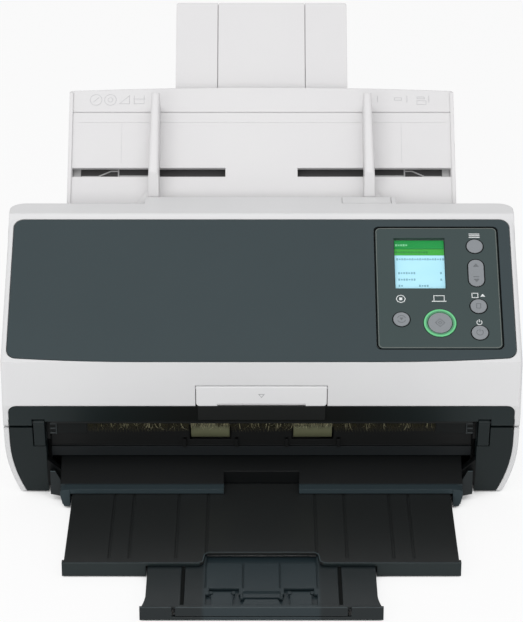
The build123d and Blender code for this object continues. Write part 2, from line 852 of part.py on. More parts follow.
def discharge_brush():
    """Brush that takes the static off the paper: a backing strip and two rows of bristles."""
    roller_gap = eject_tyre_x - eject_tyre_width / 2 - tyre_gap
    roller_end = eject_tyre_x + eject_tyre_width / 2 + tyre_gap
    with BuildPart() as brush:
        block((-brush_half_width, brush_half_width), (brush_y - brush_backing_depth, brush_y + brush_backing_depth),
              (brush_top_z - brush_backing_height, brush_top_z))
    bottom = brush_top_z - brush_backing_height
    strands = []
    count = int(bristle_half_width / bristle_pitch)
    for row in (-1, 1):
        for index in range(-count, count + 1):
            x = (index + 0.25 * row) * bristle_pitch
            if roller_gap < abs(x) < roller_end:
                continue
            lean_x = bristle_lean * math.sin(2.4 * index + row) * bristle_pitch
            lean_y = bristle_lean * math.cos(1.7 * index) * bristle_row_gap
            tip = bottom - bristle_length * (1 - 0.12 * (1 + math.sin(3.1 * index + 2 * row)))
            y = y_shift + brush_y + row * bristle_row_gap
            side_half = bristle_side / 2
            root = [(x - side_half, y, bottom + 0.2), (x + side_half, y, bottom + 0.2),
                    (x, y + bristle_side, bottom + 0.2)]
            end = [(px + lean_x, py + lean_y, tip) for px, py, pz in root]
            strands.append(Solid.make_loft([Wire.make_polygon(root), Wire.make_polygon(end)], True))
    brush.part = Part(brush.part.fuse(*strands).wrapped)
    return brush


def upper_roller_centre(s, radius):
    """Centre of a roller that presses on the paper from above."""
    return path_point(s, radius + nip_gap)


def lower_roller_centre(s, radius):
    """Centre of a roller that carries the paper from below."""
    return path_point(s, -radius)


def pick_centre():
    """Centre of the pick roller, under the chute's foot."""
    return chute_point(pick_c, -pick_radius)


def upper_axles():
    """Rollers in the cover: name, centre, roller radius, axle radius and ear places."""
    feed_ear = feed_tyre_x + feed_tyre_width / 2 + 1.5
    drive_ear = drive_tyre_x + idler_width / 2 + 1.5
    eject_ear = eject_tyre_x + idler_width / 2 + 1.5
    return [("brake", upper_roller_centre(feed_s, feed_radius), feed_radius, shaft_radius, feed_ear,
             feed_tyre_x, feed_tyre_width),
            ("drive", upper_roller_centre(drive_s, idler_radius), idler_radius, idler_axle_radius, drive_ear,
             drive_tyre_x, idler_width),
            ("eject", upper_roller_centre(eject_s, idler_radius), idler_radius, idler_axle_radius, eject_ear,
             eject_tyre_x, idler_width)]


def inner_guide():
    """Dark guide that closes the cover's underside, with ears for its rollers."""
    end_s = path_length - 3
    low = upper_guide_lift
    high = upper_guide_lift + guide_skin
    mouth = (deck_rear_y - skin - 0.2, parting_high_z - 1.2)
    with BuildPart() as guide:
        bar([mouth, chute_point(pick_c, low + 1), bend_point(low), path_point(end_s, low),
             path_point(end_s, high), bend_point(high), chute_point(pick_c, high + 1),
             (mouth[0], mouth[1] + guide_skin)], -upper_guide_half_width, upper_guide_half_width)
        inside = -body_half_depth + 2 * skin
        for sign in (-1, 1):
            bar([path_point(end_s - 12, high), (inside + 20, inner_slope_z(inside + 20)),
                 (inner_deck_y() - 1, inner_slope_z(inner_deck_y() - 1)), (inner_deck_y(), deck_z - skin),
                 (mouth[0], deck_z - skin), mouth, chute_point(pick_c, high), bend_point(high)],
                sign * (upper_guide_half_width - guide_skin), sign * upper_guide_half_width)
        for name, centre, radius, axle, ear, tyre_x, width in upper_axles():
            for sign in (-1, 1):
                for x in (sign * ear, sign * (2 * tyre_x - ear)):
                    if abs(x) > 2:
                        y, z = centre
                        lean = math.sin(path_angle), math.cos(path_angle)
                        along = math.cos(path_angle), -math.sin(path_angle)
                        reach = axle + ear_border
                        foot = radius + nip_gap - high + 0.5
                        corners = [(y + lean[0] * foot + i * along[0] * reach,
                                    z - lean[1] * foot - i * along[1] * reach) for i in (-1, 1)]
                        tops = [(y - lean[0] * reach + i * along[0] * reach,
                                 z + lean[1] * reach - i * along[1] * reach) for i in (1, -1)]
                        bar(corners + tops, x - ear_thickness / 2, x + ear_thickness / 2)
        for name, centre, radius, axle, ear, tyre_x, width in upper_axles():
            for sign in (-1, 1):
                rod(centre, radius + tyre_gap, sign * tyre_x - width / 2 - 0.4, sign * tyre_x + width / 2 + 0.4,
                    Mode.SUBTRACT)
            rod(centre, axle + running_fit, -ear - 3, ear + 3, Mode.SUBTRACT)
        slope = [path_point(scan_from_s - seat, low - 1), path_point(scan_to_s + seat, low - 1),
                 path_point(scan_to_s + seat, high + 3), path_point(scan_from_s - seat, high + 3)]
        bar(slope, -glass_half_width - seat, glass_half_width + seat, Mode.SUBTRACT)
        panel_block((bezel_left_x, bezel_right_x), (bezel_top_s, bezel_bottom_s),
                    (-bezel_thickness - board_drop - 2, 0), Mode.SUBTRACT)
        window = pick_radius + tyre_gap
        rod(pick_centre(), window, -pick_tyre_x - pick_tyre_width / 2 - 1, pick_tyre_x + pick_tyre_width / 2 + 1,
            Mode.SUBTRACT)
    return guide


def glass(lift_from, lift_to):
    """Flat glass across the paper path."""
    with BuildPart() as pane:
        bar([path_point(scan_from_s, lift_from), path_point(scan_to_s, lift_from),
             path_point(scan_to_s, lift_to), path_point(scan_from_s, lift_to)],
            -glass_half_width, glass_half_width)
    return pane


def scan_unit(face_lift, back_lift, half_width):
    """Closed scan head: lamp, mirrors and line sensor in one case behind its glass."""
    step = 2.0 if back_lift > face_lift else -2.0
    with BuildPart() as unit:
        bar([path_point(scan_from_s + 1, face_lift), path_point(scan_to_s - 1, face_lift),
             path_point(scan_to_s - 1, back_lift), path_point(scan_from_s + 1, back_lift)],
            -half_width, half_width)
        bar([path_point(scan_from_s + 5, back_lift), path_point(scan_to_s - 5, back_lift),
             path_point(scan_to_s - 5, back_lift + step), path_point(scan_from_s + 5, back_lift + step)],
            -half_width / 2, half_width / 2)
    return unit


def tyres(centre, radius, bore, places, width):
    """Rubber tyres side by side on one shaft."""
    with BuildPart() as group:
        for x in places:
            rod(centre, radius, x - width / 2, x + width / 2)
        rod(centre, bore, -body_half_width, body_half_width, Mode.SUBTRACT)
    return group


def shaft(centre, pulley):
    """Steel shaft across the chassis with its belt pulley on the right."""
    left = -chassis_inner_x - chassis_thickness - 1
    with BuildPart() as part:
        rod(centre, shaft_radius, left, pulley_x + pulley_width + 1)
        rod(centre, pulley - belt_thickness, pulley_x - pulley_width / 2, pulley_x + pulley_width / 2)
    return part


def drive_shaft_roller(centre, radius, pulley, places, width):
    """Shaft with its pulley and moulded rollers in one piece."""
    with BuildPart() as part:
        rod(centre, shaft_radius, -chassis_inner_x - chassis_thickness - 1, pulley_x + pulley_width + 1)
        rod(centre, pulley - belt_thickness, pulley_x - pulley_width / 2, pulley_x + pulley_width / 2)
        for x in places:
            rod(centre, radius, x - width / 2, x + width / 2)
    return part


def idler(axle_radius, centre, radius, tyre_x, width, ear):
    """Free roller pair on its own axle."""
    with BuildPart() as part:
        rod(centre, axle_radius, -ear - 1.5, ear + 1.5)
        for sign in (-1, 1):
            rod(centre, radius, sign * tyre_x - width / 2, sign * tyre_x + width / 2)
    return part


def lower_axles():
    """Driven shafts in the base: centre, roller radius, roller places, width and pulley radius."""
    return {"pick": (pick_centre(), pick_radius, pick_tyre_x, pick_tyre_width, pulley_radius),
            "feed": (lower_roller_centre(feed_s, feed_radius), feed_radius, feed_tyre_x, feed_tyre_width,
                     feed_pulley_radius),
            "drive": (lower_roller_centre(drive_s, drive_radius), drive_radius, drive_tyre_x,
                      drive_tyre_width, pulley_radius),
            "eject": (lower_roller_centre(eject_s, eject_radius), eject_radius, eject_tyre_x,
                      eject_tyre_width, pulley_radius)}


def lower_paper_guide():
    """Dark guide under the paper, turned down at the front as the exit bin's rear wall."""
    low = -lower_guide_drop - guide_skin
    high = -lower_guide_drop
    end = path_point(path_length - 4, high)
    wall_rear = floor_rear_y + bin_wall_thickness
    with BuildPart() as guide:
        bar([chute_point(chute_low_c - 0.3, high), bend_point(high), end, path_point(path_length - 4, low),
             bend_point(low), chute_point(chute_low_c - 0.3, low)], -lower_guide_half_width, lower_guide_half_width)
        bar([(floor_rear_y, floor_rear_z + slide_gap), (wall_rear, floor_rear_z + slide_gap),
             (wall_rear, end[1]), end, (floor_rear_y, bin_wall_top_z)], -lower_guide_half_width, lower_guide_half_width)
        block((-lower_guide_half_width, lower_guide_half_width), (floor_rear_y - shelf_depth, floor_rear_y),
              (floor_rear_z + slide_gap, shelf_top_z))
        gap = eject_tyre_width / 2 + tyre_gap
        for sign in (-1, 1):
            for x in (eject_tyre_x - gap - 3, eject_tyre_x + gap + 3):
                block((sign * x - rib_width / 2, sign * x + rib_width / 2), (floor_rear_y - rib_depth, floor_rear_y),
                      (shelf_top_z, bin_wall_top_z))
            block((sign * eject_tyre_x - gap, sign * eject_tyre_x + gap),
                  (floor_rear_y - 20, wall_rear + 9), (shelf_top_z + 4, end[1] + 20), Mode.SUBTRACT)
        for centre, radius, tyre_x, width, pulley in lower_axles().values():
            for sign in (-1, 1):
                rod(centre, radius + tyre_gap, sign * tyre_x - width / 2 - 1, sign * tyre_x + width / 2 + 1,
                    Mode.SUBTRACT)
        bar([path_point(scan_from_s - seat, high + 1), path_point(scan_to_s + seat, high + 1),
             path_point(scan_to_s + seat, low - 3), path_point(scan_from_s - seat, low - 3)],
            -glass_half_width - seat, glass_half_width + seat, Mode.SUBTRACT)
    return guide


def base_outline(inset):
    """Side view of the base inside its skin, from the parting line round the back to the feet."""
    slope = math.atan2(parting_high_z - cover_bottom_z, deck_rear_y - parting_low_y)
    drop = parting_gap / math.cos(slope) + inset / math.cos(slope)
    top_z = parting_z - inset
    rise = math.tan(slope)
    start_y = parting_low_y + (top_z - (cover_bottom_z - drop)) / rise
    deck_end = parting_high_z - drop
    return [(front_y(top_z) + inset, top_z), (start_y, top_z), (deck_rear_y, deck_end),
            (shoulder_y, shoulder_z - inset), (rear_deck_y, rear_deck_z - inset * 1.2),
            (body_half_depth - inset, rear_top_z - inset * 0.4), (body_half_depth - inset, skirt_z + inset),
            (front_y(skirt_z) + inset, skirt_z + inset)]


def swept_x(inset, z):
    """Half width of the base at height z: upright above, swept inwards in a wide arc below."""
    radius = sweep_radius - inset
    drop = max(sweep_z - z, 0.0)
    return body_half_width - sweep_radius + math.sqrt(radius ** 2 - drop ** 2)


def swept_section(inset, y, low):
    """Sketch of the base from the front: full width above, swept inwards towards its foot."""
    half = swept_x(inset, sweep_z)
    foot = swept_x(inset, low)
    middle_z = (sweep_z + low) / 2
    middle = swept_x(inset, middle_z)
    with BuildSketch(facing(y)) as outline:
        with BuildLine():
            Polyline((-half, sweep_z), (-half, deck_z), (half, deck_z), (half, sweep_z))
            ThreePointArc((half, sweep_z), (middle, middle_z), (foot, low))
            Line((foot, low), (-foot, low))
            ThreePointArc((-foot, low), (-middle, middle_z), (-half, sweep_z))
        make_face()
    return outline.sketch


def base_envelope(inset):
    """Solid of the base inside its skin."""
    with BuildPart() as envelope:
        bar(base_outline(inset), -body_half_width, body_half_width)
        extrude(swept_section(inset, body_half_depth + 5, skirt_z + inset), amount=2 * body_half_depth + 20,
                mode=Mode.INTERSECT)
    return envelope.part


def front_hollow():
    """Solid of the room behind the dark front, inside the white sides' walls."""
    rear = front_y(0) + side_wall + 8
    with BuildPart() as hollow:
        extrude(swept_section(side_wall, rear, 0), amount=2 * body_half_depth)
        block((-body_half_width, body_half_width), (-3 * body_half_depth, body_half_depth),
              (parting_z - side_wall, 2 * deck_z), Mode.SUBTRACT)
    return hollow.part


def side_cover(sign):
    """White side of the base: wall, swept lower edge and the shoulder beside the chute."""
    outer = base_envelope(0)
    inner = base_envelope(side_wall)
    shoulder_inner = chute_half_width + 1.0
    rear = body_half_depth - skin
    with BuildPart() as cover:
        add(outer)
        add(inner, mode=Mode.SUBTRACT)
        block((-sign * body_half_width * 2, sign * shoulder_inner), (-body_half_depth * 2, body_half_depth * 2),
              (-5, deck_z * 2), Mode.SUBTRACT)
        block((sign * shoulder_inner, sign * plate_half_width), (-body_half_depth * 2, body_half_depth * 2),
              (0, foot_height + side_wall + 0.5), Mode.SUBTRACT)
        block((sign * shoulder_inner, sign * body_half_width * 2), (rear, body_half_depth * 2), (0, deck_z * 2),
              Mode.SUBTRACT)
        add(front_hollow(), mode=Mode.SUBTRACT)
        block((sign * shoulder_inner, sign * (body_half_width - side_wall)),
              (-body_half_depth * 2, deck_rear_y), (parting_z - side_wall - 1, deck_z * 2), Mode.SUBTRACT)
    return cover


def rear_cover():
    """White back wall with the sloping deck behind the chute, the vents and the port openings."""
    outer = base_envelope(0)
    inner = base_envelope(skin)
    shoulder_inner = chute_half_width + 1.0
    rear = body_half_depth - skin
    with BuildPart() as cover:
        add(outer)
        add(inner, mode=Mode.SUBTRACT)
        block((-body_half_width, body_half_width), (-2 * body_half_depth, rear_deck_start_y), (0, 2 * deck_z),
              Mode.SUBTRACT)
        block((-body_half_width, body_half_width), (0, rear), (0, rear_top_z - 2 * skin), Mode.SUBTRACT)
        for sign in (-1, 1):
            block((sign * (shoulder_inner - seat), sign * body_half_width), (0, rear), (0, 2 * deck_z),
                  Mode.SUBTRACT)
        for index in range(vent_count):
            x = (index - (vent_count - 1) / 2) * vent_pitch
            block((x - vent_width / 2, x + vent_width / 2), (rear - 1, body_half_depth + 1),
                  (vent_low_z, vent_low_z + vent_height), Mode.SUBTRACT)
        base = main_board_z + board_thickness
        for x, width, height in ((usb_x, usb_width, usb_height), (lan_x, lan_width, lan_height),
                                 (jack_x, jack_width, jack_height)):
            block((x - width / 2 - port_gap, x + width / 2 + port_gap), (rear - 1, body_half_depth + 1),
                  (base - port_gap, base + height + port_gap), Mode.SUBTRACT)
    return cover


def cheek_solid(inset, low, rear_inset):
    """Solid of both front corners, shrunk by inset, from height low up."""
    rear = -body_half_depth + cheek_depth + rear_inset
    low_rear = -body_half_depth + cheek_low_depth + rear_inset
    top = parting_z - inset
    step = cheek_step_z - inset
    with BuildPart() as cheeks:
        bar([(front_y(top) + inset, top), (rear, top), (rear, step), (low_rear, step), (low_rear, low),
             (front_y(low) + inset, low)], -dark_half_width + seat + inset, dark_half_width - seat - inset)
        extrude(swept_section(side_wall + 2 * seat + inset, body_half_depth, low), amount=3 * body_half_depth,
                mode=Mode.INTERSECT)
        block((-cheek_inner_x - inset, cheek_inner_x + inset), (-2 * body_half_depth, body_half_depth),
              (0, deck_z), Mode.SUBTRACT)
    return cheeks.part


def front_cheeks():
    """Dark corner pieces either side of the exit, with the seats of the hinge caps."""
    with BuildPart() as cheeks:
        add(cheek_solid(0, skirt_z, 0))
        add(cheek_solid(cheek_wall, skirt_z + cheek_wall, 1.0), mode=Mode.SUBTRACT)
        for sign in (-1, 1):
            block((sign * (cheek_inner_x - seat), sign * (hinge_cap_inner_x + hinge_cap_width + cap_gap)),
                  (-2 * body_half_depth, front_y(hinge_cap_bottom_z) + hinge_cap_depth),
                  (hinge_cap_bottom_z - cap_gap, deck_z), Mode.SUBTRACT)
    return cheeks


def hinge_caps():
    """Dark ears that rise past the parting line and hold the cover's hinge pins."""
    with BuildPart() as caps:
        for sign in (-1, 1):
            inner = sign * hinge_cap_inner_x
            outer = sign * (hinge_cap_inner_x + hinge_cap_width)
            low = hinge_cap_bottom_z
            rear = front_y(low) + hinge_cap_depth - seat
            bar([(front_y(low), low), (front_y(hinge_z) + 0.12, hinge_z), (hinge_y + barrel_radius, hinge_z),
                 (rear, parting_z - 3), (rear, low)], inner, outer)
            rod((hinge_y, hinge_z), barrel_radius, inner, outer)
            rod((hinge_y, hinge_z), hinge_pin_radius, inner - sign, outer + sign, Mode.SUBTRACT)
    return caps


def hinge_pins():
    """Steel pins held in the hinge caps, on which the cover turns."""
    with BuildPart() as pins:
        for sign in (-1, 1):
            rod((hinge_y, hinge_z), hinge_pin_radius, sign * hinge_cap_inner_x,
                sign * (hinge_cap_inner_x + hinge_pin_length))
    return pins


def bottom_plate():
    """Base plate between the round lower edges, cut out for the stacker, with the board's posts."""
    half = plate_half_width - seat
    pocket = arm_inner_x + arm_width + slide_gap
    rear = body_half_depth - skin
    front = front_y(foot_height) + 1.0
    with BuildPart() as plate:
        block((-half, half), (front, rear - seat), (foot_height, foot_height + skin))
        block((-pocket, pocket), (front - 9, rail_rear_y + slide_gap), (0, foot_height + 2 * skin), Mode.SUBTRACT)
        block((-half - 1, half + 1), (front - 9, -body_half_depth + cheek_low_depth + seat), (0, 2 * foot_height),
              Mode.SUBTRACT)
        for x in (-main_board_half_width + 6, main_board_half_width - 6):
            for y in (main_board_front_y + 5, body_half_depth - 9):
                with BuildSketch(level(foot_height + skin)) as post:
                    with Locations((x, y)):
                        Circle(board_post_radius)
                extrude(post.sketch, amount=main_board_z - foot_height - skin)
    return plate


def arm_corners(sign):
    """What is cut off an arm's front end to round it: the bar's outer corner and both lower corners."""
    arm_outer = arm_inner_x + arm_width
    low_x = arm_inner_x + arm_end_round
    low_z = arm_bottom_z + arm_end_round
    with BuildSketch(facing(arm_front_y - 0.5)) as corners:
        with Locations((sign * (arm_outer - bar_end_round / 2 + 0.5), bar_top_z - bar_end_round / 2 + 0.5)):
            Rectangle(bar_end_round + 1, bar_end_round + 1)
        with Locations((sign * (arm_outer - bar_end_round), bar_top_z - bar_end_round)):
            Circle(bar_end_round, mode=Mode.SUBTRACT)
        with Locations((sign * (arm_inner_x + arm_width / 2), low_z - arm_end_round)):
            Rectangle(arm_width + 1, 2 * arm_end_round)
        with Locations((sign * low_x, low_z)):
            Circle(arm_end_round, mode=Mode.SUBTRACT)
    return corners.sketch


def exit_floor():
    """Dark exit floor: front bar with its notch, the arms, and the rails that carry the stacker."""
    arm_outer = arm_inner_x + arm_width
    with BuildPart() as floor:
        bar([(bar_front_y, bar_bottom_z), (bar_front_y, bar_top_z), (bar_top_y, bar_top_z + 0.3),
             (floor_rear_y, floor_rear_z), (floor_rear_y + bin_wall_thickness, floor_rear_z),
             (floor_rear_y + bin_wall_thickness, bar_bottom_z)], -arm_outer, arm_outer)
        block((-arm_outer, arm_outer), (floor_rear_y, rail_rear_y), (bar_bottom_z, bar_bottom_z + roof_thickness))
        for sign in (-1, 1):
            with BuildSketch(side(sign * arm_inner_x)) as arm:
                with BuildLine():
                    Polyline((arm_front_y + arm_round, arm_bottom_z), (rail_rear_y, arm_bottom_z),
                             (rail_rear_y, bar_bottom_z + 1), (bar_top_y, bar_top_z + 0.3),
                             (arm_front_y, bar_top_z), (arm_front_y, arm_bottom_z + arm_round))
                    RadiusArc((arm_front_y, arm_bottom_z + arm_round), (arm_front_y + arm_round, arm_bottom_z),
                              -arm_round)
                make_face()
            extrude(arm.sketch, amount=sign * arm_width)
            block((sign * (arm_inner_x - 1), sign * (arm_inner_x + rail_groove_depth)),
                  (arm_front_y + 4, rail_rear_y + 1), (rail_groove_low_z, rail_groove_high_z), Mode.SUBTRACT)
            with BuildSketch(facing(front_y(floor_rear_z))) as gusset:
                with BuildLine():
                    Polyline((sign * (cheek_inner_x - seat), floor_rear_z + 1),
                             (sign * (cheek_inner_x - seat), bar_bottom_z), (sign * arm_inner_x, bar_bottom_z),
                             (sign * arm_inner_x, bar_top_z), close=True)
                make_face()
            extrude(gusset.sketch, amount=-(cheek_depth - 11))
            with BuildSketch(facing(front_y(0) + 2)) as taper:
                with BuildLine():
                    Polyline((sign * arm_outer, bar_bottom_z), (sign * (arm_outer + 1), bar_bottom_z),
                             (sign * (arm_outer + 1), 0), (sign * (arm_outer - arm_taper), 0), close=True)
                make_face()
            extrude(taper.sketch, amount=2 * arm_outer, mode=Mode.SUBTRACT)
            extrude(arm_corners(sign), amount=-(bar_top_y - arm_front_y + 0.2), mode=Mode.SUBTRACT)
            outer = cheek_inner_x - gusset_gap
            with BuildSketch(facing(gusset_front_y)) as plate:
                with BuildLine():
                    Polyline((sign * outer, gusset_top_z), (sign * (outer - gusset_shelf), gusset_top_z),
                             (sign * (arm_outer - bar_end_round / 2), bar_top_z - 1.5),
                             (sign * (arm_outer - arm_taper - 1), bar_top_z - 1.5),
                             (sign * (arm_outer - arm_taper - 1), gusset_low_z - arm_taper),
                             (sign * outer, gusset_low_z), close=True)
                make_face()
            extrude(plate.sketch, amount=-gusset_skin)
        block((-arm_outer, arm_outer), (rail_rear_y, rail_rear_y + skin), (foot_height + 2 * skin, bar_bottom_z + 2))
        block((-notch_half_width, notch_half_width), (bar_front_y - 1, notch_rear_y), (0, 40), Mode.SUBTRACT)
    return floor


def groove_lines(deck_top, places, width, y_range):
    """Cut shallow grooves that run front to back in a deck."""
    for x in places:
        for sign in (-1, 1):
            block((sign * x - width / 2, sign * x + width / 2), y_range, (deck_top - groove, deck_top + 1),
                  Mode.SUBTRACT)


def stacker_tray():
    """Dark tray that slides out from under the exit, notched at its front."""
    rear = tray_front_y + tray_length
    tongue = (rail_groove_low_z + slide_gap, rail_groove_high_z - slide_gap)
    with BuildPart() as tray:
        block((-tray_half_width, tray_half_width), (tray_front_y, rear), (tray_top_z - tray_skin, tray_top_z))
        for sign in (-1, 1):
            wall_x = sign * tray_half_width
            block((wall_x - sign * tray_wall, wall_x), (tray_front_y, rear), (tray_bottom_z, tray_top_z))
            bay = sign * extension_bay_half_width
            block((bay, bay + sign * tray_wall), (tray_front_y, rear), (tray_bottom_z, tray_top_z - tray_skin))
            block((bay, wall_x + sign * tray_lip), (tray_front_y, tray_front_y + tray_wall), (tray_bottom_z, tray_top_z))
            block((wall_x - sign, wall_x + sign * tray_lip), (tray_front_y, tray_front_y + tray_lip_depth),
                  (tray_bottom_z, tray_top_z))
            block((wall_x, sign * (arm_inner_x + rail_groove_depth - slide_gap)), (arm_front_y + 5, rear), tongue)
            block((bay, bay + sign * (tray_wall - 1)), (tray_front_y + 4, rear), (3.0, 5.2), Mode.SUBTRACT)
        block((-extension_bay_half_width, extension_bay_half_width), (rear - tray_wall, rear),
              (tray_bottom_z, tray_top_z - tray_skin))
        half = tray_notch_half_width
        notch_rear = tray_front_y + tray_notch_depth
        with BuildSketch(level(tray_bottom_z)) as notch:
            with BuildLine():
                Polyline((-half - 3, tray_front_y - 1), (-half, tray_front_y + 2), (-half + 1, notch_rear),
                         (half - 1, notch_rear), (half, tray_front_y + 2), (half + 3, tray_front_y - 1), close=True)
            make_face()
            fillet(notch.vertices().group_by(Axis.Y)[-1], 2.0)
        extrude(notch.sketch, amount=tray_top_z, mode=Mode.SUBTRACT)
        lines = (tray_half_width - tray_groove_outer, tray_half_width - tray_groove_inner,
                 tray_half_width - tray_groove_middle, tray_notch_half_width - 1.6)
        groove_lines(tray_top_z, lines, 1.4, (tray_front_y + 5, rear))
    return tray


def extension_flare(sign):
    """Side edge of the extension, which widens in a hollow curve towards its front bar."""
    wide = stack_extension_half_width
    bar_rear = stack_extension_front_y + front_bar_depth
    with BuildSketch(level(tray_bottom_z)) as flare:
        with BuildLine():
            Polyline((sign * wide, bar_rear + 22), (sign * (wide - 1), bar_rear + 22), (sign * (wide - 1), bar_rear),
                     (sign * (front_bar_half_width - 0.3), bar_rear))
            ThreePointArc((sign * (front_bar_half_width - 0.3), bar_rear), (sign * (wide + 0.4), bar_rear + 9),
                          (sign * wide, bar_rear + 22))
        make_face()
    extrude(flare.sketch, amount=stack_deck_top_z - tray_bottom_z)


def stopper_bays():
    """Cut the openings of the stopper in the extension's deck, all open towards the front."""
    rear = stack_extension_front_y + stopper_bar_depth + 0.5
    z_range = (front_bar_sill_z, front_bar_top_z + 1)
    block((-front_bar_opening, front_bar_opening), (stack_extension_front_y - 1, rear), z_range, Mode.SUBTRACT)
    block((-bay_inner_x, bay_inner_x), (rear - 1, tongue_front_y), z_range, Mode.SUBTRACT)
    for sign in (-1, 1):
        block((sign * bay_inner_x, sign * (pad_edge_x - 0.1)), (rear - 1, well_front_y), z_range, Mode.SUBTRACT)
        block((sign * well_inner_x, sign * well_outer_x), (well_front_y - 1, pad_front_y), z_range, Mode.SUBTRACT)


def stacker_extension():
    """Dark narrower tray that slides out of the first one, with its front bar and centre tongue."""
    rear = stack_extension_front_y + stack_extension_length
    bar_rear = stack_extension_front_y + front_bar_depth
    low = tray_bottom_z
    top = stack_deck_top_z
    with BuildPart() as extension:
        block((-stack_extension_half_width, stack_extension_half_width), (bar_rear, rear),
              (top - stack_deck_skin, top))
        for sign in (-1, 1):
            outer = sign * stack_extension_half_width
            block((outer - sign * stack_wall, outer), (bar_rear, rear), (low, top))
            block((outer, sign * (extension_bay_half_width + tray_wall - 1 - slide_gap)),
                  (tray_front_y + 6, rear), (3.3, 4.9))
            rail = sign * (end_deck_half_width + slide_gap + 1)
            block((rail, rail + sign * 2), (bar_rear, rear), (low, top))
            block((sign * (end_deck_half_width - 2), rail), (bar_rear, rear), (low, end_top_z - end_skin - slide_gap))
            extension_flare(sign)
        block((-front_bar_half_width, front_bar_half_width), (stack_extension_front_y, bar_rear),
              (low, front_bar_top_z))
        block((-pad_edge_x, pad_edge_x), (pad_rear_y, pad_rear_y + tray_notch_depth), (top - stack_deck_skin - 1, top + 1),
              Mode.SUBTRACT)
        stopper_bays()
        bar([(tongue_front_y, top - stack_deck_skin), (tongue_front_y, top + tongue_ridge),
             (tongue_front_y + 3.5, top + tongue_ridge), (tongue_front_y + 8, top), (tongue_front_y + 8, top - 1)],
            -tongue_half_width, tongue_half_width)
        groove_lines(top, (43.4,), 2.0, (bar_rear + 3, pad_rear_y - 4))
        groove_lines(top, (pad_edge_x, tongue_half_width), 0.8, (pad_front_y, pad_rear_y))
    return extension


def knuckle_ends(gap):
    """Inner and outer distance from the middle of the stopper's hinge knuckles, with a gap around them."""
    return stopper_arm_inner_x + stopper_knuckle - gap, stopper_arm_outer_x - stopper_knuckle + gap


def stacker_end():
    """Last, narrow stage of the stacker, which carries the stopper's hinge."""
    front = stack_extension_front_y
    hinge_at = front + stopper_length
    low = end_top_z - end_skin
    with BuildPart() as end:
        block((-end_deck_half_width, end_deck_half_width), (front + stopper_bar_depth + 0.4, front + end_length),
              (low, end_top_z))
        inner, outer = knuckle_ends(slide_gap / 2)
        for sign in (-1, 1):
            block((sign * inner, sign * outer), (hinge_at - hinge_ear_depth, hinge_at + hinge_ear_depth),
                  (low - 1, end_top_z + 1), Mode.SUBTRACT)
            for x in (inner - hinge_ear_width, outer):
                block((sign * x, sign * (x + hinge_ear_width)),
                      (hinge_at - hinge_ear_depth / 2, hinge_at + hinge_ear_depth / 2),
                      (end_top_z - 0.5, stopper_axis_height + stopper_barrel_radius))
        rod((hinge_at, stopper_axis_height), stopper_pin_radius + running_fit, -end_deck_half_width,
            end_deck_half_width, Mode.SUBTRACT)
    return end


def stopper():
    """Stacker's front bar on two arms, which stands up to stop the paper, with a grip tongue."""
    front = stack_extension_front_y
    hinge_at = front + stopper_length
    bar_rear = front + stopper_bar_depth
    top = stack_deck_top_z
    with BuildPart() as flap:
        block((-stopper_half_width, stopper_half_width), (front, bar_rear), (stopper_bar_low_z, front_bar_top_z))
        inner, outer = knuckle_ends(0)
        for sign in (-1, 1):
            block((sign * stopper_arm_inner_x, sign * stopper_arm_outer_x),
                  (bar_rear - 0.5, hinge_at - hinge_ear_depth), (top - stopper_arm_thickness, top))
            block((sign * inner, sign * outer), (hinge_at - hinge_ear_depth, hinge_at),
                  (top - stopper_arm_thickness, top))
            rod((hinge_at, stopper_axis_height), stopper_barrel_radius, sign * inner, sign * outer)
            rod((hinge_at, stopper_axis_height), stopper_pin_radius,
                sign * (inner - hinge_ear_width), sign * (outer + hinge_ear_width))
        with BuildSketch(level(top - stopper_arm_thickness)) as grip:
            with BuildLine():
                Polyline((-grip_front_half_width, bar_rear - 0.5), (grip_front_half_width, bar_rear - 0.5),
                         (grip_rear_half_width, grip_rear_y), (-grip_rear_half_width, grip_rear_y), close=True)
            make_face()
        extrude(grip.sketch, amount=stopper_arm_thickness + 0.5)
    return flap


def chute_plate():
    """White front of the chute, with rims, the guides' slots and its moulded lines."""
    with BuildPart() as plate:
        half = chute_half_width
        with BuildSketch(chute_at(-chute_plate_thickness)) as face:
            with BuildLine():
                Polyline((-half, chute_top_c), (-half, chute_low_c), (half, chute_low_c), (half, chute_top_c))
                ThreePointArc((half, chute_top_c), (0, chute_top_c + chute_crown), (-half, chute_top_c))
            make_face()
            fillet(face.vertices(), chute_corner)
        extrude(face.sketch, amount=chute_plate_thickness)
        for sign in (-1, 1):
            chute_block((sign * chute_half_width - (chute_rim_width if sign > 0 else 0),
                         sign * chute_half_width + (chute_rim_width if sign < 0 else 0)),
                        (chute_low_c + chute_corner, chute_top_c - chute_corner), (0, chute_rim_height))
            chute_block((min(sign * slot_inner_x, sign * slot_outer_x), max(sign * slot_inner_x, sign * slot_outer_x)),
                        (slot_low_c, slot_high_c), (-chute_plate_thickness - 1, 1), Mode.SUBTRACT)
        inside = half - chute_rim_width
        chute_block((-inside, inside), (chute_seam_c - groove / 2, chute_seam_c + groove / 2), (-groove, 1),
                    Mode.SUBTRACT)
        chute_block((-inside + 3, inside - 3), (chute_line_c - groove / 4, chute_line_c + groove / 4),
                    (-groove / 5, 1), Mode.SUBTRACT)
        hub = (0, pinion_c)
        with BuildSketch(chute_at(rack_low_n)) as pin:
            with Locations(hub):
                Circle(pinion_pin_radius)
        extrude(pin.sketch, amount=-rack_low_n - chute_plate_thickness / 2)
    return plate


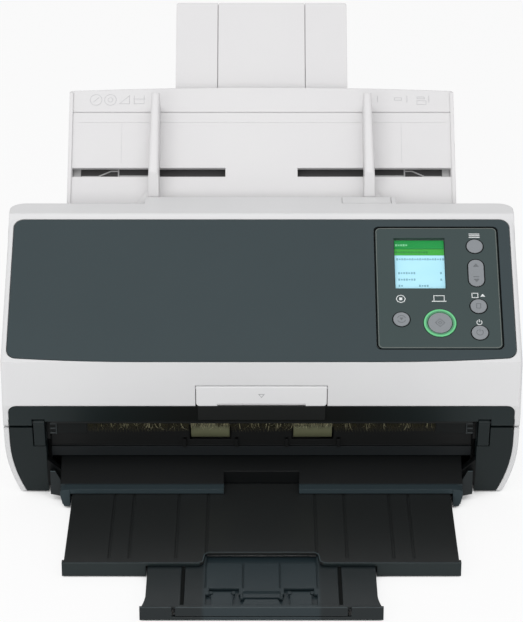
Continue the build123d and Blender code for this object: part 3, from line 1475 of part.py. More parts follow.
def chute_back():
    """White back of the chute: the racks' space, the extension's channel and the mounting bosses."""
    half = chute_half_width
    with BuildPart() as back:
        chute_block((-half, half), (chute_low_c, chute_top_c), (chute_back_n, -chute_plate_thickness))
        chute_block((-half + skin, half - skin), (chute_low_c + skin, chute_top_c - skin),
                    (rack_low_n, 1), Mode.SUBTRACT)
        channel = extension_half_width + extension_gap
        low = extension_top_c - extension_travel - (extension_top_c - extension_low_c)
        chute_block((-channel, channel), (low - 2, chute_top_c + 1), (channel_low_n, channel_top_n), Mode.SUBTRACT)
        y, z = chute_point(chute_boss_c, chute_boss_n)
        for sign in (-1, 1):
            rod((y, z), chute_boss_radius, sign * (half - 1), sign * chassis_inner_x)
    return back


def rack_points(x_from, x_to, pitch_c, bar_side):
    """Outline of a toothed rack in X and c, its teeth pointing away from bar_side."""
    pitch = math.pi * rack_module
    wide = tooth_share * pitch / 2 + rack_module * 0.18
    narrow = tooth_tip_share * pitch / 2 + rack_module * 0.04
    root = pitch_c + bar_side * rack_module * 1.1
    tip = pitch_c - bar_side * rack_module * 0.85
    points = [(x_from, root + bar_side * rack_bar), (x_from, root)]
    first = math.ceil((x_from + wide) / pitch - 0.5)
    last = math.floor((x_to - wide) / pitch - 0.5)
    for index in range(first, last + 1):
        middle = (index + 0.5) * pitch
        points += [(middle - wide, root), (middle - narrow, tip), (middle + narrow, tip), (middle + wide, root)]
    points += [(x_to, root), (x_to, root + bar_side * rack_bar)]
    return points


def side_guide(sign):
    """White side guide with its foot through the slot and its rack behind the chute's front."""
    inner = sign * guide_inner_x
    outer = sign * (guide_inner_x + guide_width)
    top_outer = sign * (guide_inner_x + guide_top_width)
    low_x, high_x = min(inner, outer), max(inner, outer)
    bar_side = 1 if sign < 0 else -1
    pitch_c = pinion_c + bar_side * pinion_radius
    rack_root = pitch_c + bar_side * rack_module * 1.1
    foot_c = (slot_low_c + slide_gap, slot_high_c - slide_gap)
    middle = sign * (guide_inner_x + guide_width / 2)
    reach = [middle - sign * 18.0, middle - sign * 122.0]
    with BuildPart() as guide:
        with BuildSketch(chute_at(guide_lift)) as wall:
            with BuildLine():
                Polyline((inner, guide_low_c), (outer, guide_low_c), (top_outer, guide_high_c),
                         (inner, guide_high_c), close=True)
            make_face()
        extrude(wall.sketch, amount=guide_height - guide_lift)
        crest = guide.edges().filter_by(lambda e: e.length > guide_high_c - guide_low_c - 1)
        crest = crest.sort_by(lambda e: e.center().Z - e.center().Y)[-2:]
        fillet(crest, guide_top_round)
        block((-body_half_width, body_half_width), (-body_half_depth, hood_rear_y + guide_setback),
              (0, 2 * deck_z), Mode.SUBTRACT)
        with BuildSketch(chute_at(flare_n)) as flare:
            with BuildLine():
                Polyline((outer - sign, flare_low_c), (outer + sign * foot_flare, flare_low_c),
                         (outer, flare_low_c + 1.2 * foot_flare), (outer - sign, flare_low_c + 1.2 * foot_flare),
                         close=True)
            make_face()
        extrude(flare.sketch, amount=flare_height)
        chute_block((low_x + 0.5, high_x - 0.5), foot_c, (rack_n - rack_thickness, guide_lift))
        chute_block((low_x + 0.5, high_x - 0.5),
                    (min(foot_c[0], rack_root + bar_side * rack_bar), max(foot_c[1], rack_root + bar_side * rack_bar)),
                    (rack_n - rack_thickness, rack_n))
        with BuildSketch(chute_at(rack_n - rack_thickness)) as rack:
            with BuildLine():
                Polyline(*rack_points(min(reach), max(reach), pitch_c, bar_side), close=True)
            make_face()
        extrude(rack.sketch, amount=rack_thickness)
        bar_low = min(rack_root, rack_root + bar_side * rack_bar)
        chute_block((min(middle, middle - sign * 20), max(middle, middle - sign * 20)),
                    (bar_low, bar_low + rack_bar), (rack_n - rack_thickness, rack_n))
    return guide


def guide_pinion():
    """Pinion that makes the two side guides move together."""
    pitch = 2 * math.pi / pinion_teeth
    root = pinion_radius - rack_module * 1.1
    tip = pinion_radius + rack_module * 0.85
    wide = tooth_share * pitch / 2 * 1.15
    narrow = tooth_tip_share * pitch / 2
    points = []
    for index in range(pinion_teeth):
        middle = math.pi / 2 + index * pitch
        for angle, radius in ((middle - wide, root), (middle - narrow, tip), (middle + narrow, tip),
                              (middle + wide, root)):
            points.append((radius * math.cos(angle), pinion_c + radius * math.sin(angle)))
    with BuildPart() as pinion:
        with BuildSketch(chute_at(rack_n - rack_thickness)) as outline:
            with BuildLine():
                Polyline(*points, close=True)
            make_face()
            with Locations((0, pinion_c)):
                Circle(pinion_pin_radius + running_fit, mode=Mode.SUBTRACT)
        extrude(outline.sketch, amount=rack_thickness)
    return pinion


def chute_extension():
    """White extension that slides up out of the chute, with the channel of its inner stage."""
    top_n = channel_top_n - extension_gap
    with BuildPart() as extension:
        chute_block((-extension_half_width, extension_half_width), (extension_low_c, extension_top_c),
                    (top_n - extension_thickness, top_n), Mode.ADD, chute_corner)
        inner = inner_extension_half_width + extension_gap
        chute_block((-inner, inner), (inner_extension_low_c - 2, extension_top_c + 1),
                    (top_n - inner_extension_thickness - extension_gap, top_n + 1), Mode.SUBTRACT)
    return extension


def chute_inner_extension():
    """White inner stage of the extension, flush with its face."""
    top_n = channel_top_n - extension_gap
    with BuildPart() as extension:
        chute_block((-inner_extension_half_width, inner_extension_half_width),
                    (inner_extension_low_c, extension_top_c), (top_n - inner_extension_thickness, top_n),
                    Mode.ADD, 1.0)
    return extension


def chassis_plates():
    """Steel side plates that carry the shafts, the motor and the chute."""
    with BuildPart() as plates:
        for sign in (-1, 1):
            inner = sign * chassis_inner_x
            outer = sign * (chassis_inner_x + chassis_thickness)
            boss_y, boss_z = chute_point(chute_boss_c, chute_boss_n)
            bar([(chassis_low_front_y, foot_height + skin), (chassis_low_front_y, cheek_step_z + 0.5),
                 (chassis_front_y, cheek_step_z + 0.5), (chassis_front_y, 52.0), (chassis_front_y + 8, 60.0),
                 (path_bend_y, path_bend_z - 0.5), (chute_foot_y - 21, chute_foot_z - 19.5), (shoulder_y, shoulder_z - side_wall - 2),
                 (chassis_rear_y, rear_deck_z - side_wall - 4), (chassis_rear_y, foot_height + skin)],
                inner, outer)
            for centre, radius, tyre_x, width, pulley in lower_axles().values():
                rod(centre, shaft_radius + running_fit, inner - sign, outer + sign, Mode.SUBTRACT)
        rod((motor_y, motor_z), motor_shaft_radius + 2, chassis_inner_x - 1,
            chassis_inner_x + chassis_thickness + 1, Mode.SUBTRACT)
    return plates


def drive_motor():
    """Motor bolted to the right chassis plate."""
    with BuildPart() as motor:
        rod((motor_y, motor_z), motor_radius, chassis_inner_x - motor_length, chassis_inner_x)
        rod((motor_y, motor_z), motor_radius * 0.4, chassis_inner_x - motor_length - 3,
            chassis_inner_x - motor_length)
        rod((motor_y, motor_z), motor_shaft_radius, chassis_inner_x - 8, pulley_x + pulley_width, Mode.SUBTRACT)
    return motor


def motor_pulley():
    """Motor shaft with its pulley."""
    with BuildPart() as pulley:
        rod((motor_y, motor_z), motor_shaft_radius - running_fit, chassis_inner_x - 8, pulley_x + pulley_width)
        rod((motor_y, motor_z), pulley_radius - belt_thickness, pulley_x - pulley_width / 2,
            pulley_x + pulley_width / 2)
    return pulley


def drive_belt():
    """Belt round the motor pulley and the four shaft pulleys."""
    axles = lower_axles()
    ring = [axles["pick"][0], axles["drive"][0], axles["eject"][0], (motor_y, motor_z)]
    half = belt_width / 2
    with BuildPart() as belt:
        with BuildSketch(side(pulley_x - half)) as outer:
            with BuildLine():
                Polyline(*ring, close=True)
            make_face()
            offset(amount=pulley_radius)
        extrude(outer.sketch, amount=belt_width)
        with BuildSketch(side(pulley_x - half - 1)) as inner:
            with BuildLine():
                Polyline(*ring, close=True)
            make_face()
            offset(amount=pulley_radius - belt_thickness + slide_gap)
        extrude(inner.sketch, amount=belt_width + 2, mode=Mode.SUBTRACT)
    return belt


def main_board():
    """Main circuit board on its posts, with the big chips and the heat sink."""
    rear = body_half_depth - skin - 1.0
    with BuildPart() as board:
        block((-main_board_half_width, main_board_half_width), (main_board_front_y, rear),
              (main_board_z, main_board_z + board_thickness))
        top = main_board_z + board_thickness
        for x, width in ((-50.0, 10.0), (12.0, 8.0), (52.0, 12.0)):
            block((x - width / 2, x + width / 2), (main_board_front_y + 4, main_board_front_y + 4 + width),
                  (top, top + 2.5))
    return board


def port_shell(x, width, height, depth, mouth_width, mouth_height, mouth_depth, tongue):
    """Metal shell of one socket, open at the back of the scanner."""
    low = main_board_z + board_thickness
    rear = body_half_depth - 0.3
    middle = low + height / 2
    block((x - width / 2, x + width / 2), (rear - depth, rear), (low, low + height))
    block((x - mouth_width / 2, x + mouth_width / 2), (rear - mouth_depth, rear + 1),
          (middle - mouth_height / 2, middle + mouth_height / 2), Mode.SUBTRACT)
    if tongue > 0:
        block((x - mouth_width / 4, x + mouth_width / 4), (rear - mouth_depth, rear - mouth_depth + tongue),
              (middle - mouth_height / 6, middle + mouth_height / 6))


def data_ports():
    """The square data socket and the network socket."""
    with BuildPart() as ports:
        port_shell(usb_x, usb_width, usb_height, usb_depth, 8.5, 7.9, 12.0, 6.0)
        port_shell(lan_x, lan_width, lan_height, lan_depth, 11.8, 8.4, 14.0, 0.0)
    return ports


def dc_jack():
    """Round power socket."""
    low = main_board_z + board_thickness
    rear = body_half_depth - 0.3
    with BuildPart() as jack:
        block((jack_x - jack_width / 2, jack_x + jack_width / 2), (rear - jack_depth, rear), (low, low + jack_height))
        with BuildSketch(facing(rear - jack_bore_depth)) as bore:
            with Locations((jack_x, low + jack_height / 2)):
                Circle(jack_bore_radius)
        extrude(bore.sketch, amount=-jack_bore_depth - 1, mode=Mode.SUBTRACT)
    return jack


def rubber_feet():
    """Four round rubber feet under the base plate."""
    with BuildPart() as feet:
        for x in (-foot_x, foot_x):
            for y in (foot_front_y, foot_rear_y):
                with BuildSketch(level(0)) as disc:
                    with Locations((x, y)):
                        Circle(foot_radius)
                extrude(disc.sketch, amount=foot_height)
        fillet(feet.edges().group_by(Axis.Z)[0], 0.6)
    return feet


def case_screws():
    """Countersunk screws that hold the base plate, seen from below."""
    with BuildPart() as screws:
        for x in (-foot_x, foot_x):
            for y in (foot_front_y + 40, foot_rear_y - 40):
                with BuildSketch(level(foot_height - 1.2)) as head:
                    with Locations((x, y)):
                        Circle(screw_radius)
                extrude(head.sketch, amount=1.2)
    return screws


def build_cover():
    """Write the pieces of the flip-up cover."""
    write(top_shell(), "top_shell")
    write(front_panel(), "front_panel")
    write(operator_bezel(), "operator_bezel")
    for name, x, s, radius in round_buttons():
        write(round_button(x, s, radius), name)
    write(scroll_rocker(), "scroll_rocker")
    write(scan_light_ring(), "scan_light_ring")
    write(lcd_window(), "lcd_window")
    write(lcd_module(), "lcd_module")
    write(panel_board(), "panel_board")
    write(front_flap(), "front_flap")
    write(release_tab(), "release_tab")
    write(exit_strip(), "exit_strip")
    write(discharge_brush(), "discharge_brush")
    write(inner_guide(), "inner_guide")
    face = upper_guide_lift
    write(glass(face, face + glass_thickness), "upper_scan_glass")
    write(scan_unit(face + glass_thickness, face + glass_thickness + scan_unit_depth, scan_unit_half_width - 4),
          "upper_scan_unit")
    for name, centre, radius, axle, ear, tyre_x, width in upper_axles():
        if name == "brake":
            write(idler(axle, centre, radius, tyre_x, width, ear), "brake_roller")
        else:
            write(idler(axle, centre, radius, tyre_x, width, ear), name + "_idler")


def build_base():
    """Write the pieces of the base."""
    write(bottom_plate(), "bottom_plate")
    write(side_cover(-1), "left_side_cover")
    write(side_cover(1), "right_side_cover")
    write(rear_cover(), "rear_cover")
    write(front_cheeks(), "front_cheeks")
    write(hinge_caps(), "hinge_caps")
    write(hinge_pins(), "hinge_pins")
    write(exit_floor(), "exit_floor")
    write(lower_paper_guide(), "lower_paper_guide")
    face = -lower_guide_drop
    write(glass(face, face - glass_thickness), "lower_scan_glass")
    write(scan_unit(face - glass_thickness, face - glass_thickness - scan_unit_depth, scan_unit_half_width - 4),
          "lower_scan_unit")
    write(chassis_plates(), "chassis_plates")
    write(drive_motor(), "drive_motor")
    write(motor_pulley(), "motor_pulley")
    write(drive_belt(), "drive_belt")
    write(main_board(), "main_board")
    write(data_ports(), "data_ports")
    write(dc_jack(), "dc_jack")
    write(rubber_feet(), "rubber_feet")
    write(case_screws(), "case_screws")


def build_rollers():
    """Write the driven shafts and their tyres."""
    for name in ("pick", "eject"):
        centre, radius, tyre_x, width, pulley = lower_axles()[name]
        write(shaft(centre, pulley), name + "_shaft")
        write(tyres(centre, radius, shaft_radius, (-tyre_x, tyre_x), width), name + "_tyres")
    for name in ("feed", "drive"):
        centre, radius, tyre_x, width, pulley = lower_axles()[name]
        write(drive_shaft_roller(centre, radius, pulley, (-tyre_x, tyre_x), width), name + "_roller")


def build_chute():
    """Write the chute, its side guides and its extensions."""
    write(chute_plate(), "chute_plate")
    write(chute_back(), "chute_back")
    write(side_guide(-1), "left_side_guide")
    write(side_guide(1), "right_side_guide")
    write(guide_pinion(), "guide_pinion")
    write(chute_extension(), "chute_extension")
    write(chute_inner_extension(), "chute_inner_extension")


def build_stacker():
    """Write the three stages of the stacker and its stopper."""
    write(stacker_tray(), "stacker_tray")
    write(stacker_extension(), "stacker_extension")
    write(stacker_end(), "stacker_end")
    write(stopper(), "stopper")


os.makedirs("parts", exist_ok=True)
build_cover()
build_base()
build_rollers()
build_chute()
build_stacker()
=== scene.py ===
"""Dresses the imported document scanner: finishes, markings, brush fibres, studio and camera."""

from __future__ import annotations

import logging
import math
from dataclasses import dataclass, field
from enum import Enum
from typing import Any

import bpy
import numpy as np
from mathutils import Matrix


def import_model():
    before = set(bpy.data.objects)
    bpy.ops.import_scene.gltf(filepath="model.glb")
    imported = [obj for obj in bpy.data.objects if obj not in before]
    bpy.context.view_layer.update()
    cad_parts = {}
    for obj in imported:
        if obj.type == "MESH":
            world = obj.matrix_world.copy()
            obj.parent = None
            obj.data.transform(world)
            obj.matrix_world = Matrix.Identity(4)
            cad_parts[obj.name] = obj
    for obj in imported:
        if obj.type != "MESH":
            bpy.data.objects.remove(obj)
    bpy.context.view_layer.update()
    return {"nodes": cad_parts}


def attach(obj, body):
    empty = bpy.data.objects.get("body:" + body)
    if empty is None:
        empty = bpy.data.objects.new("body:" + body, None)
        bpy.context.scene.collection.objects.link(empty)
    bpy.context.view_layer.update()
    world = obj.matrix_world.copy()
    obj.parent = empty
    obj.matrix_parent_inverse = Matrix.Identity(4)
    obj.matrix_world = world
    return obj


LOG = logging.getLogger("scanner")
Outline = list[tuple[float, float]]
Tree = bpy.types.NodeTree
Socket = bpy.types.NodeSocket
Material = bpy.types.Material
Object = bpy.types.Object

# Middle of the CAD's depth in the frame, and the two slopes' edges and angles, in millimetres and degrees
SHIFT_Y = 36.919162
PANEL_TOP_Z = 146.0
PANEL_ANGLE = 32.1879
CHUTE_FOOT_Y = 43.0
CHUTE_FOOT_Z = 148.5
CHUTE_ANGLE = 45.0


class Slot(Enum):
    """The record's material slots, passed with new pieces but not used."""

    WHITE = "white_plastic"
    BUTTON = "button_plastic"
    SCREEN = "screen"
    BRISTLE = "bristle"
    DARK = "dark_plastic"
    PANEL = "panel_plastic"
    STEEL = "steel"


def linear(hex_colour: str) -> tuple[float, float, float, float]:
    """Turn an sRGB hex colour to linear.

    Args:
        hex_colour: Six hex digits with a leading hash.

    Returns:
        Linear red, green, blue and an alpha of one.
    """
    parts = np.array([int(hex_colour[i:i + 2], 16) / 255.0 for i in (1, 3, 5)])
    turned = np.where(parts <= 0.04045, parts / 12.92, ((parts + 0.055) / 1.055) ** 2.4)
    return (float(turned[0]), float(turned[1]), float(turned[2]), 1.0)


def add_node(
    tree: Tree,
    kind: str,
    settings: dict[str | int, Any] | None = None,
    links: dict[str | int, Socket] | None = None,
) -> bpy.types.Node:
    """Add a node with its settings and links.

    Args:
        tree: Node tree that gets the node.
        kind: Blender's name for the node's kind, after its first word ShaderNode.
        settings: Properties of the node, or values of its inputs.
        links: Input name or number, with the socket that feeds it.

    Returns:
        The new node.
    """
    node = tree.nodes.new("ShaderNode" + kind)
    for key, value in (settings or {}).items():
        if isinstance(key, str) and hasattr(node, key):
            setattr(node, key, value)
        else:
            node.inputs[key].default_value = value
    for key, socket in (links or {}).items():
        tree.links.new(socket, node.inputs[key])
    return node


def bare_tree(holder: Material | bpy.types.World) -> Tree:
    """Empty the node tree of a material or world.

    Args:
        holder: The material or world.

    Returns:
        Its node tree.
    """
    holder.use_nodes = True
    holder.node_tree.nodes.clear()
    return holder.node_tree


@dataclass(frozen=True)
class Finish:
    """A surface finish: its colours, gloss, fine relief and softened edges.

    Sizes are real millimetres. The two colours drift into each other over patches of
    ``drift_mm``, as moulded plastic does, and ``edge_mm`` is how round a sharp edge looks.
    """

    title: str
    colour: str
    drift_colour: str
    roughness: float
    drift_mm: float = 45.0
    grain_mm: float = 0.9
    grain_height_mm: float = 0.02
    edge_mm: float = 0.5
    metallic: float = 0.0
    specular: float = 0.5
    coat: float = 0.0

    def paint(self, tree: Tree, place: Socket) -> Socket:
        """Colour of the surface: two close shades drifting into each other.

        Args:
            tree: The material's node tree.
            place: Object coordinates in metres.

        Returns:
            The colour socket.
        """
        patches = {"Scale": 1000.0 / self.drift_mm, "Detail": 3.0}
        drift = add_node(tree, "TexNoise", patches, {"Vector": place})
        mix = add_node(tree, "Mix", {"data_type": "RGBA", 6: linear(self.colour),
                                     7: linear(self.drift_colour)}, {0: drift.outputs["Fac"]})
        return mix.outputs[2]

    def relief(self, tree: Tree, place: Socket) -> Socket:
        """Fine height of the surface: the grain that the mould leaves."""
        settings = {"Scale": 1000.0 / self.grain_mm, "Detail": 2.0}
        return add_node(tree, "TexNoise", settings, {"Vector": place}).outputs["Fac"]

    def finish_shader(self, tree: Tree, shader: bpy.types.Node) -> None:
        """Last settings of the shader, for finishes that glow or let light through."""

    def make(self) -> Material:
        """Build the material's nodes.

        Returns:
            The new material.
        """
        material = bpy.data.materials.new(self.title)
        tree = bare_tree(material)
        place = add_node(tree, "TexCoord").outputs["Object"]
        soft = add_node(tree, "Bevel", {"samples": 4, "Radius": self.edge_mm / 1000.0})
        bump = add_node(tree, "Bump", {"Strength": 0.35, "Distance": self.grain_height_mm / 1000.0},
                        {"Height": self.relief(tree, place), "Normal": soft.outputs["Normal"]})
        shader = add_node(
            tree, "BsdfPrincipled",
            {"Metallic": self.metallic, "Roughness": self.roughness, "Specular IOR Level": self.specular,
             "Coat Weight": self.coat, "Coat Roughness": 0.15},
            {"Base Color": self.paint(tree, place), "Normal": bump.outputs["Normal"]})
        self.finish_shader(tree, shader)
        add_node(tree, "OutputMaterial", {}, {"Surface": shader.outputs[0]})
        return material


@dataclass(frozen=True)
class GroundRubber(Finish):
    """Rubber tyre ground round its axle: fine bands across X and a dusty sheen."""

    band_mm: float = 1.5

    def relief(self, tree: Tree, place: Socket) -> Socket:
        """Fine rings: a wave along X, whose scale counts turns of 6.283, broken up a little."""
        settings = {"bands_direction": "X", "Scale": 1000.0 / self.band_mm / 6.283, "Distortion": 1.0}
        return add_node(tree, "TexWave", settings, {"Vector": place}).outputs["Fac"]


@dataclass(frozen=True)
class BrushedSteel(Finish):
    """Zinc-plated sheet or ground rod: long scratches along X in a grey metal."""

    stretch: float = 18.0

    def relief(self, tree: Tree, place: Socket) -> Socket:
        """Scratches: noise that is squeezed along X, so that it runs in long lines."""
        along = add_node(tree, "Mapping", {"Scale": (1.0 / self.stretch, 1.0, 1.0)}, {"Vector": place})
        return add_node(tree, "TexNoise", {"Scale": 1000.0 / self.grain_mm, "Detail": 3.0},
                        {"Vector": along.outputs[0]}).outputs["Fac"]


@dataclass(frozen=True)
class Zoned(Finish):
    """Piece whose colour changes along one axis: painted light and shade from its open part to its hidden
    one, or two real parts of one piece.
    """

    other: str = "#000000"
    other_drift: str = "#000000"
    axis: str = "Y"
    from_mm: float = 0.0
    to_mm: float = 1.0
    mirrored: bool = False

    def paint(self, tree: Tree, place: Socket) -> Socket:
        """Own shade up to ``from_mm`` along the axis and the other one from ``to_mm``.

        Args:
            tree: The material's node tree.
            place: Object coordinates in metres.

        Returns:
            The colour socket.
        """
        along = add_node(tree, "SeparateXYZ", {}, {0: place}).outputs[self.axis]
        if self.mirrored:
            along = add_node(tree, "Math", {"operation": "ABSOLUTE"}, {0: along}).outputs[0]
        ends = {"From Min": self.from_mm / 1000.0, "From Max": self.to_mm / 1000.0}
        share = add_node(tree, "MapRange", ends, {"Value": along})
        shade = add_node(tree, "TexNoise", {"Scale": 900.0}, {"Vector": place})
        beyond = add_node(tree, "Mix", {"data_type": "RGBA", 6: linear(self.other),
                                        7: linear(self.other_drift)}, {0: shade.outputs["Fac"]})
        mix = add_node(tree, "Mix", {"data_type": "RGBA"},
                       {0: share.outputs[0], 6: super().paint(tree, place), 7: beyond.outputs[2]})
        return mix.outputs[2]


@dataclass(frozen=True)
class Lit(Finish):
    """Display or lamp plastic that gives a little light of its own."""

    glow: float = 0.35

    def finish_shader(self, tree: Tree, shader: bpy.types.Node) -> None:
        """Give the shader its own light in its own colour."""
        shader.inputs["Emission Color"].default_value = linear(self.colour)
        shader.inputs["Emission Strength"].default_value = self.glow


@dataclass(frozen=True)
class ClearPane(Finish):
    """Clear acrylic or float glass: mostly see-through, with a clean reflection."""

    alpha: float = 0.12

    def finish_shader(self, tree: Tree, shader: bpy.types.Node) -> None:
        """Let what lies behind show through."""
        shader.inputs["Alpha"].default_value = self.alpha


@dataclass(frozen=True)
class CircuitBoard(Finish):
    """Green laminate with lighter copper tracks under its lacquer."""

    track_mm: float = 2.4

    def paint(self, tree: Tree, place: Socket) -> Socket:
        """Tracks: the cells of a square brick pattern, their joints lighter than the board."""
        settings = {"Color1": linear(self.colour), "Color2": linear(self.drift_colour),
                    "Mortar": linear("#3f8f57"), "Scale": 1000.0 / self.track_mm / 4.0, "Mortar Size": 0.05}
        return add_node(tree, "TexBrick", settings, {"Vector": place}).outputs["Color"]


# White ABS, spark-eroded mould: an even satin
SHELL_ABS = Finish("moulded_white_abs", "#dcdcdc", "#d7d7d8", 0.42, edge_mm=0.8)
# The flap's ABS, drawn a touch lighter than the shell: painted light that lifts it out of its shade
FLAP_LIT = Finish("flap_abs_painted_light", "#e3e3e3", "#dfdfe0", 0.42, edge_mm=0.8)
# The same ABS on the chute, drawn a touch lighter as painted light where it faces up
CHUTE_LIT = Finish("chute_abs_painted_light", "#dddcdc", "#d9d8d9", 0.45, edge_mm=0.6)
# Painted shade: a dark sheet laid in the chute's slots
SLOT_SHADE = Finish("painted_slot_shade", "#4c4c4c", "#454545", 0.5, specular=0.2)
# Ribs in those slots that catch the light
RIB_ABS = Finish("moulded_rib_abs", "#c4c4c4", "#bcbcbc", 0.5)
# Slate ABS with a semi-gloss texture, on the sloping front
SLATE_ABS = Finish("moulded_slate_abs", "#384346", "#354043", 0.40, edge_mm=0.5, specular=0.2)
# The operator panel's slate, a little greener
BEZEL_ABS = Finish("moulded_bezel_abs", "#3a4747", "#374444", 0.36, edge_mm=0.6, specular=0.25)
# Charcoal ABS of the tray, warm black on its deck; its front face is drawn colder as a painted sheen
TRAY_ABS = Zoned("moulded_tray_abs", "#1e2728", "#1b2425", 0.34, edge_mm=0.9, specular=0.25,
                 other="#222424", other_drift="#1f2121", from_mm=-132.4, to_mm=-132.2)
# Colder charcoal of the pull-out extension and its stopper, lighter on the pads in the middle
EXTENSION_ABS = Zoned("moulded_extension_abs", "#232e32", "#202b2f", 0.34, edge_mm=0.8, specular=0.3,
                      other="#151d1f", other_drift="#131a1c", axis="X", from_mm=31.0, to_mm=33.0,
                      mirrored=True)
# Exit floor: painted shade darkens it inside the bay, and a painted sheen makes the bar that faces the room
# bluer and lighter
FLOOR_SHADE_AND_SHEEN = Zoned("floor_abs_painted_shade_and_sheen", "#333e42", "#303b3f", 0.36, edge_mm=0.8, specular=0.12,
                  other="#0d0f10", other_drift="#0b0d0d", from_mm=-46.8, to_mm=-45.6)
# Dark plastic inside the exit, drawn darker still as painted shade
INNER_SHADE = Finish("inner_abs_painted_shade", "#0f1212", "#0d1010", 0.48, edge_mm=0.5, specular=0.15)
# The paper guide's face over the exit: painted faint light on the ledge below, painted shade on the wall
# above
GUIDE_LIGHT_AND_SHADE = Zoned("guide_abs_painted_light_and_shade", "#171b1d", "#14181a", 0.45, edge_mm=0.5, specular=0.2,
                  other="#0c0e0e", other_drift="#0a0c0c", axis="Z", from_mm=29.6, to_mm=29.7)
# Green-grey dark ABS of the corner cheeks
CHEEK_ABS = Finish("moulded_cheek_abs", "#151e1f", "#121b1c", 0.42, edge_mm=0.7, specular=0.2)
# The cheeks' ABS along the cover's dark strip, with painted shade making it blacker towards the middle
STRIP_SHADE = Zoned("strip_abs_painted_shade", "#141615", "#121413", 0.42, edge_mm=0.6, specular=0.2,
                  other="#1b2526", other_drift="#182223", axis="X", from_mm=45.0, to_mm=135.0, mirrored=True)
# Grey keys with a soft satin coat
KEY_ABS = Finish("moulded_key_abs", "#878b8f", "#83878b", 0.42, edge_mm=0.5, specular=0.35)
# Black engineering plastic of the scan units and the power socket
BLACK_PC = Finish("moulded_black_polycarbonate", "#0e0f10", "#0b0c0d", 0.4, specular=0.3)
# White acetal of gears and idlers: waxy, slightly translucent
ACETAL = Finish("turned_white_acetal", "#e4e3dc", "#dddcd4", 0.35)
# Khaki polyurethane of the exit tyres
KHAKI_TYRE = GroundRubber("ground_khaki_urethane", "#6e7055", "#62644a", 0.6, grain_height_mm=0.08)
# Dark EPDM of the feed and brake tyres
GREY_TYRE = GroundRubber("ground_grey_epdm", "#3a3b3d", "#333436", 0.62, grain_height_mm=0.08)
# Neoprene belt with glass cord
BELT_RUBBER = Finish("moulded_belt_neoprene", "#141414", "#181818", 0.65)
# Soft dark rubber of the feet
FOOT_RUBBER = Finish("moulded_foot_rubber", "#2a2a2b", "#252526", 0.7)
# Black-painted pressed steel of the chassis
PAINTED_STEEL = Finish("painted_chassis_steel", "#121414", "#0f1111", 0.45, specular=0.25)
# Zinc-plated rod and screws
ZINC_STEEL = BrushedSteel("zinc_plated_steel", "#b4b6b8", "#a6a9ac", 0.32, metallic=1.0, grain_mm=0.4)
# Blackened hinge pins
BLACK_STEEL = BrushedSteel("blackened_pin_steel", "#26282a", "#202224", 0.4, metallic=1.0, grain_mm=0.4)
# Nickel-plated socket shells
NICKEL_SHELL = BrushedSteel("nickel_plated_steel", "#c8c9c8", "#bcbdbd", 0.24, metallic=1.0, grain_mm=0.3)
# Painted motor can
MOTOR_CAN = Finish("lacquered_motor_can", "#6a6d70", "#606367", 0.45, metallic=0.6)
# Brush in one piece: golden conductive hair below its dark strip
BRUSH_HAIR = Zoned("extruded_strip_with_hair", "#35321f", "#13120b", 0.55, drift_mm=2.0, specular=0.25,
                   other="#141717", other_drift="#121515", axis="Z", from_mm=49.9, to_mm=50.0)
# Loose golden hairs of the brush, most of them dull
DULL_HAIR = Finish("drawn_dull_hair", "#55502f", "#1d1b11", 0.5, drift_mm=2.2, specular=0.3)
# Copies of the hair drawn light as a painted glint, for the few hairs that catch the light
GLINT_HAIR = Finish("hair_painted_glint", "#dfdab4", "#9a956c", 0.4, drift_mm=2.2, specular=0.6)
# Laminate of the two circuit boards
BOARD_LAMINATE = CircuitBoard("glass_epoxy_board", "#1f6a3a", "#1c6236", 0.35)
# Pale lit display sheet
DISPLAY_SHEET = Lit("lit_display_sheet", "#a6dcec", "#b6e6f4", 0.4, drift_mm=14.0, specular=0.1, glow=0.16)
# Green bars on the display
DISPLAY_HEADER = Lit("lit_display_header", "#07923f", "#058a3a", 0.4, drift_mm=14.0, specular=0.1, glow=0.12)
DISPLAY_BAR = Lit("lit_display_bar", "#3ca83c", "#369f36", 0.4, drift_mm=14.0, specular=0.1, glow=0.12)
# Strokes on the display, in place of its words
DISPLAY_MARK = Lit("lit_display_mark", "#7fb0bf", "#7fb0bf", 0.4, specular=0.1, glow=0.10)
DISPLAY_PALE = Lit("lit_display_pale_mark", "#86d3a0", "#86d3a0", 0.4, specular=0.1, glow=0.12)
DISPLAY_GREEN = Lit("lit_display_green_mark", "#2c8a3c", "#2c8a3c", 0.4, specular=0.1, glow=0.08)
# Green light guide round the scan key
LIGHT_GUIDE = Lit("moulded_green_light_guide", "#6fc48c", "#62bb7c", 0.35, drift_mm=8.0, specular=0.3,
                  glow=0.10)
# Painted shade where that guide meets the key, and the groove outside drawn dark green as painted shade with
# the ring's painted spill of light
GUIDE_INNER = Finish("light_guide_painted_shade", "#5c9c76", "#588f6e", 0.4, specular=0.2)
GUIDE_SPILL = Finish("groove_painted_spill_and_shade", "#0b3b20", "#0a341c", 0.5, specular=0.1)
# Painted highlight along the bezel's bevel
BEVEL_HIGHLIGHT = Finish("painted_bezel_highlight", "#7b807b", "#757a75", 0.4, specular=0.3)
# Clear acrylic over the display
ACRYLIC = ClearPane("cast_clear_acrylic", "#dfe8ea", "#dfe8ea", 0.05, specular=0.15, alpha=0.03)
# Float glass of the scan units
SCAN_GLASS = ClearPane("float_scan_glass", "#3c4a48", "#3c4a48", 0.04, alpha=0.45)
# Painted shade: black sheets in the grooves round keys, bezel and trays
GROOVE_SHADE = Finish("painted_groove_shade", "#0b0d0d", "#090b0b", 0.6, specular=0.05)
# Painted highlight along the front edges of the trays and shelves
EDGE_HIGHLIGHT = Finish("painted_edge_highlight", "#47565a", "#3d4b4f", 0.3, specular=0.4)
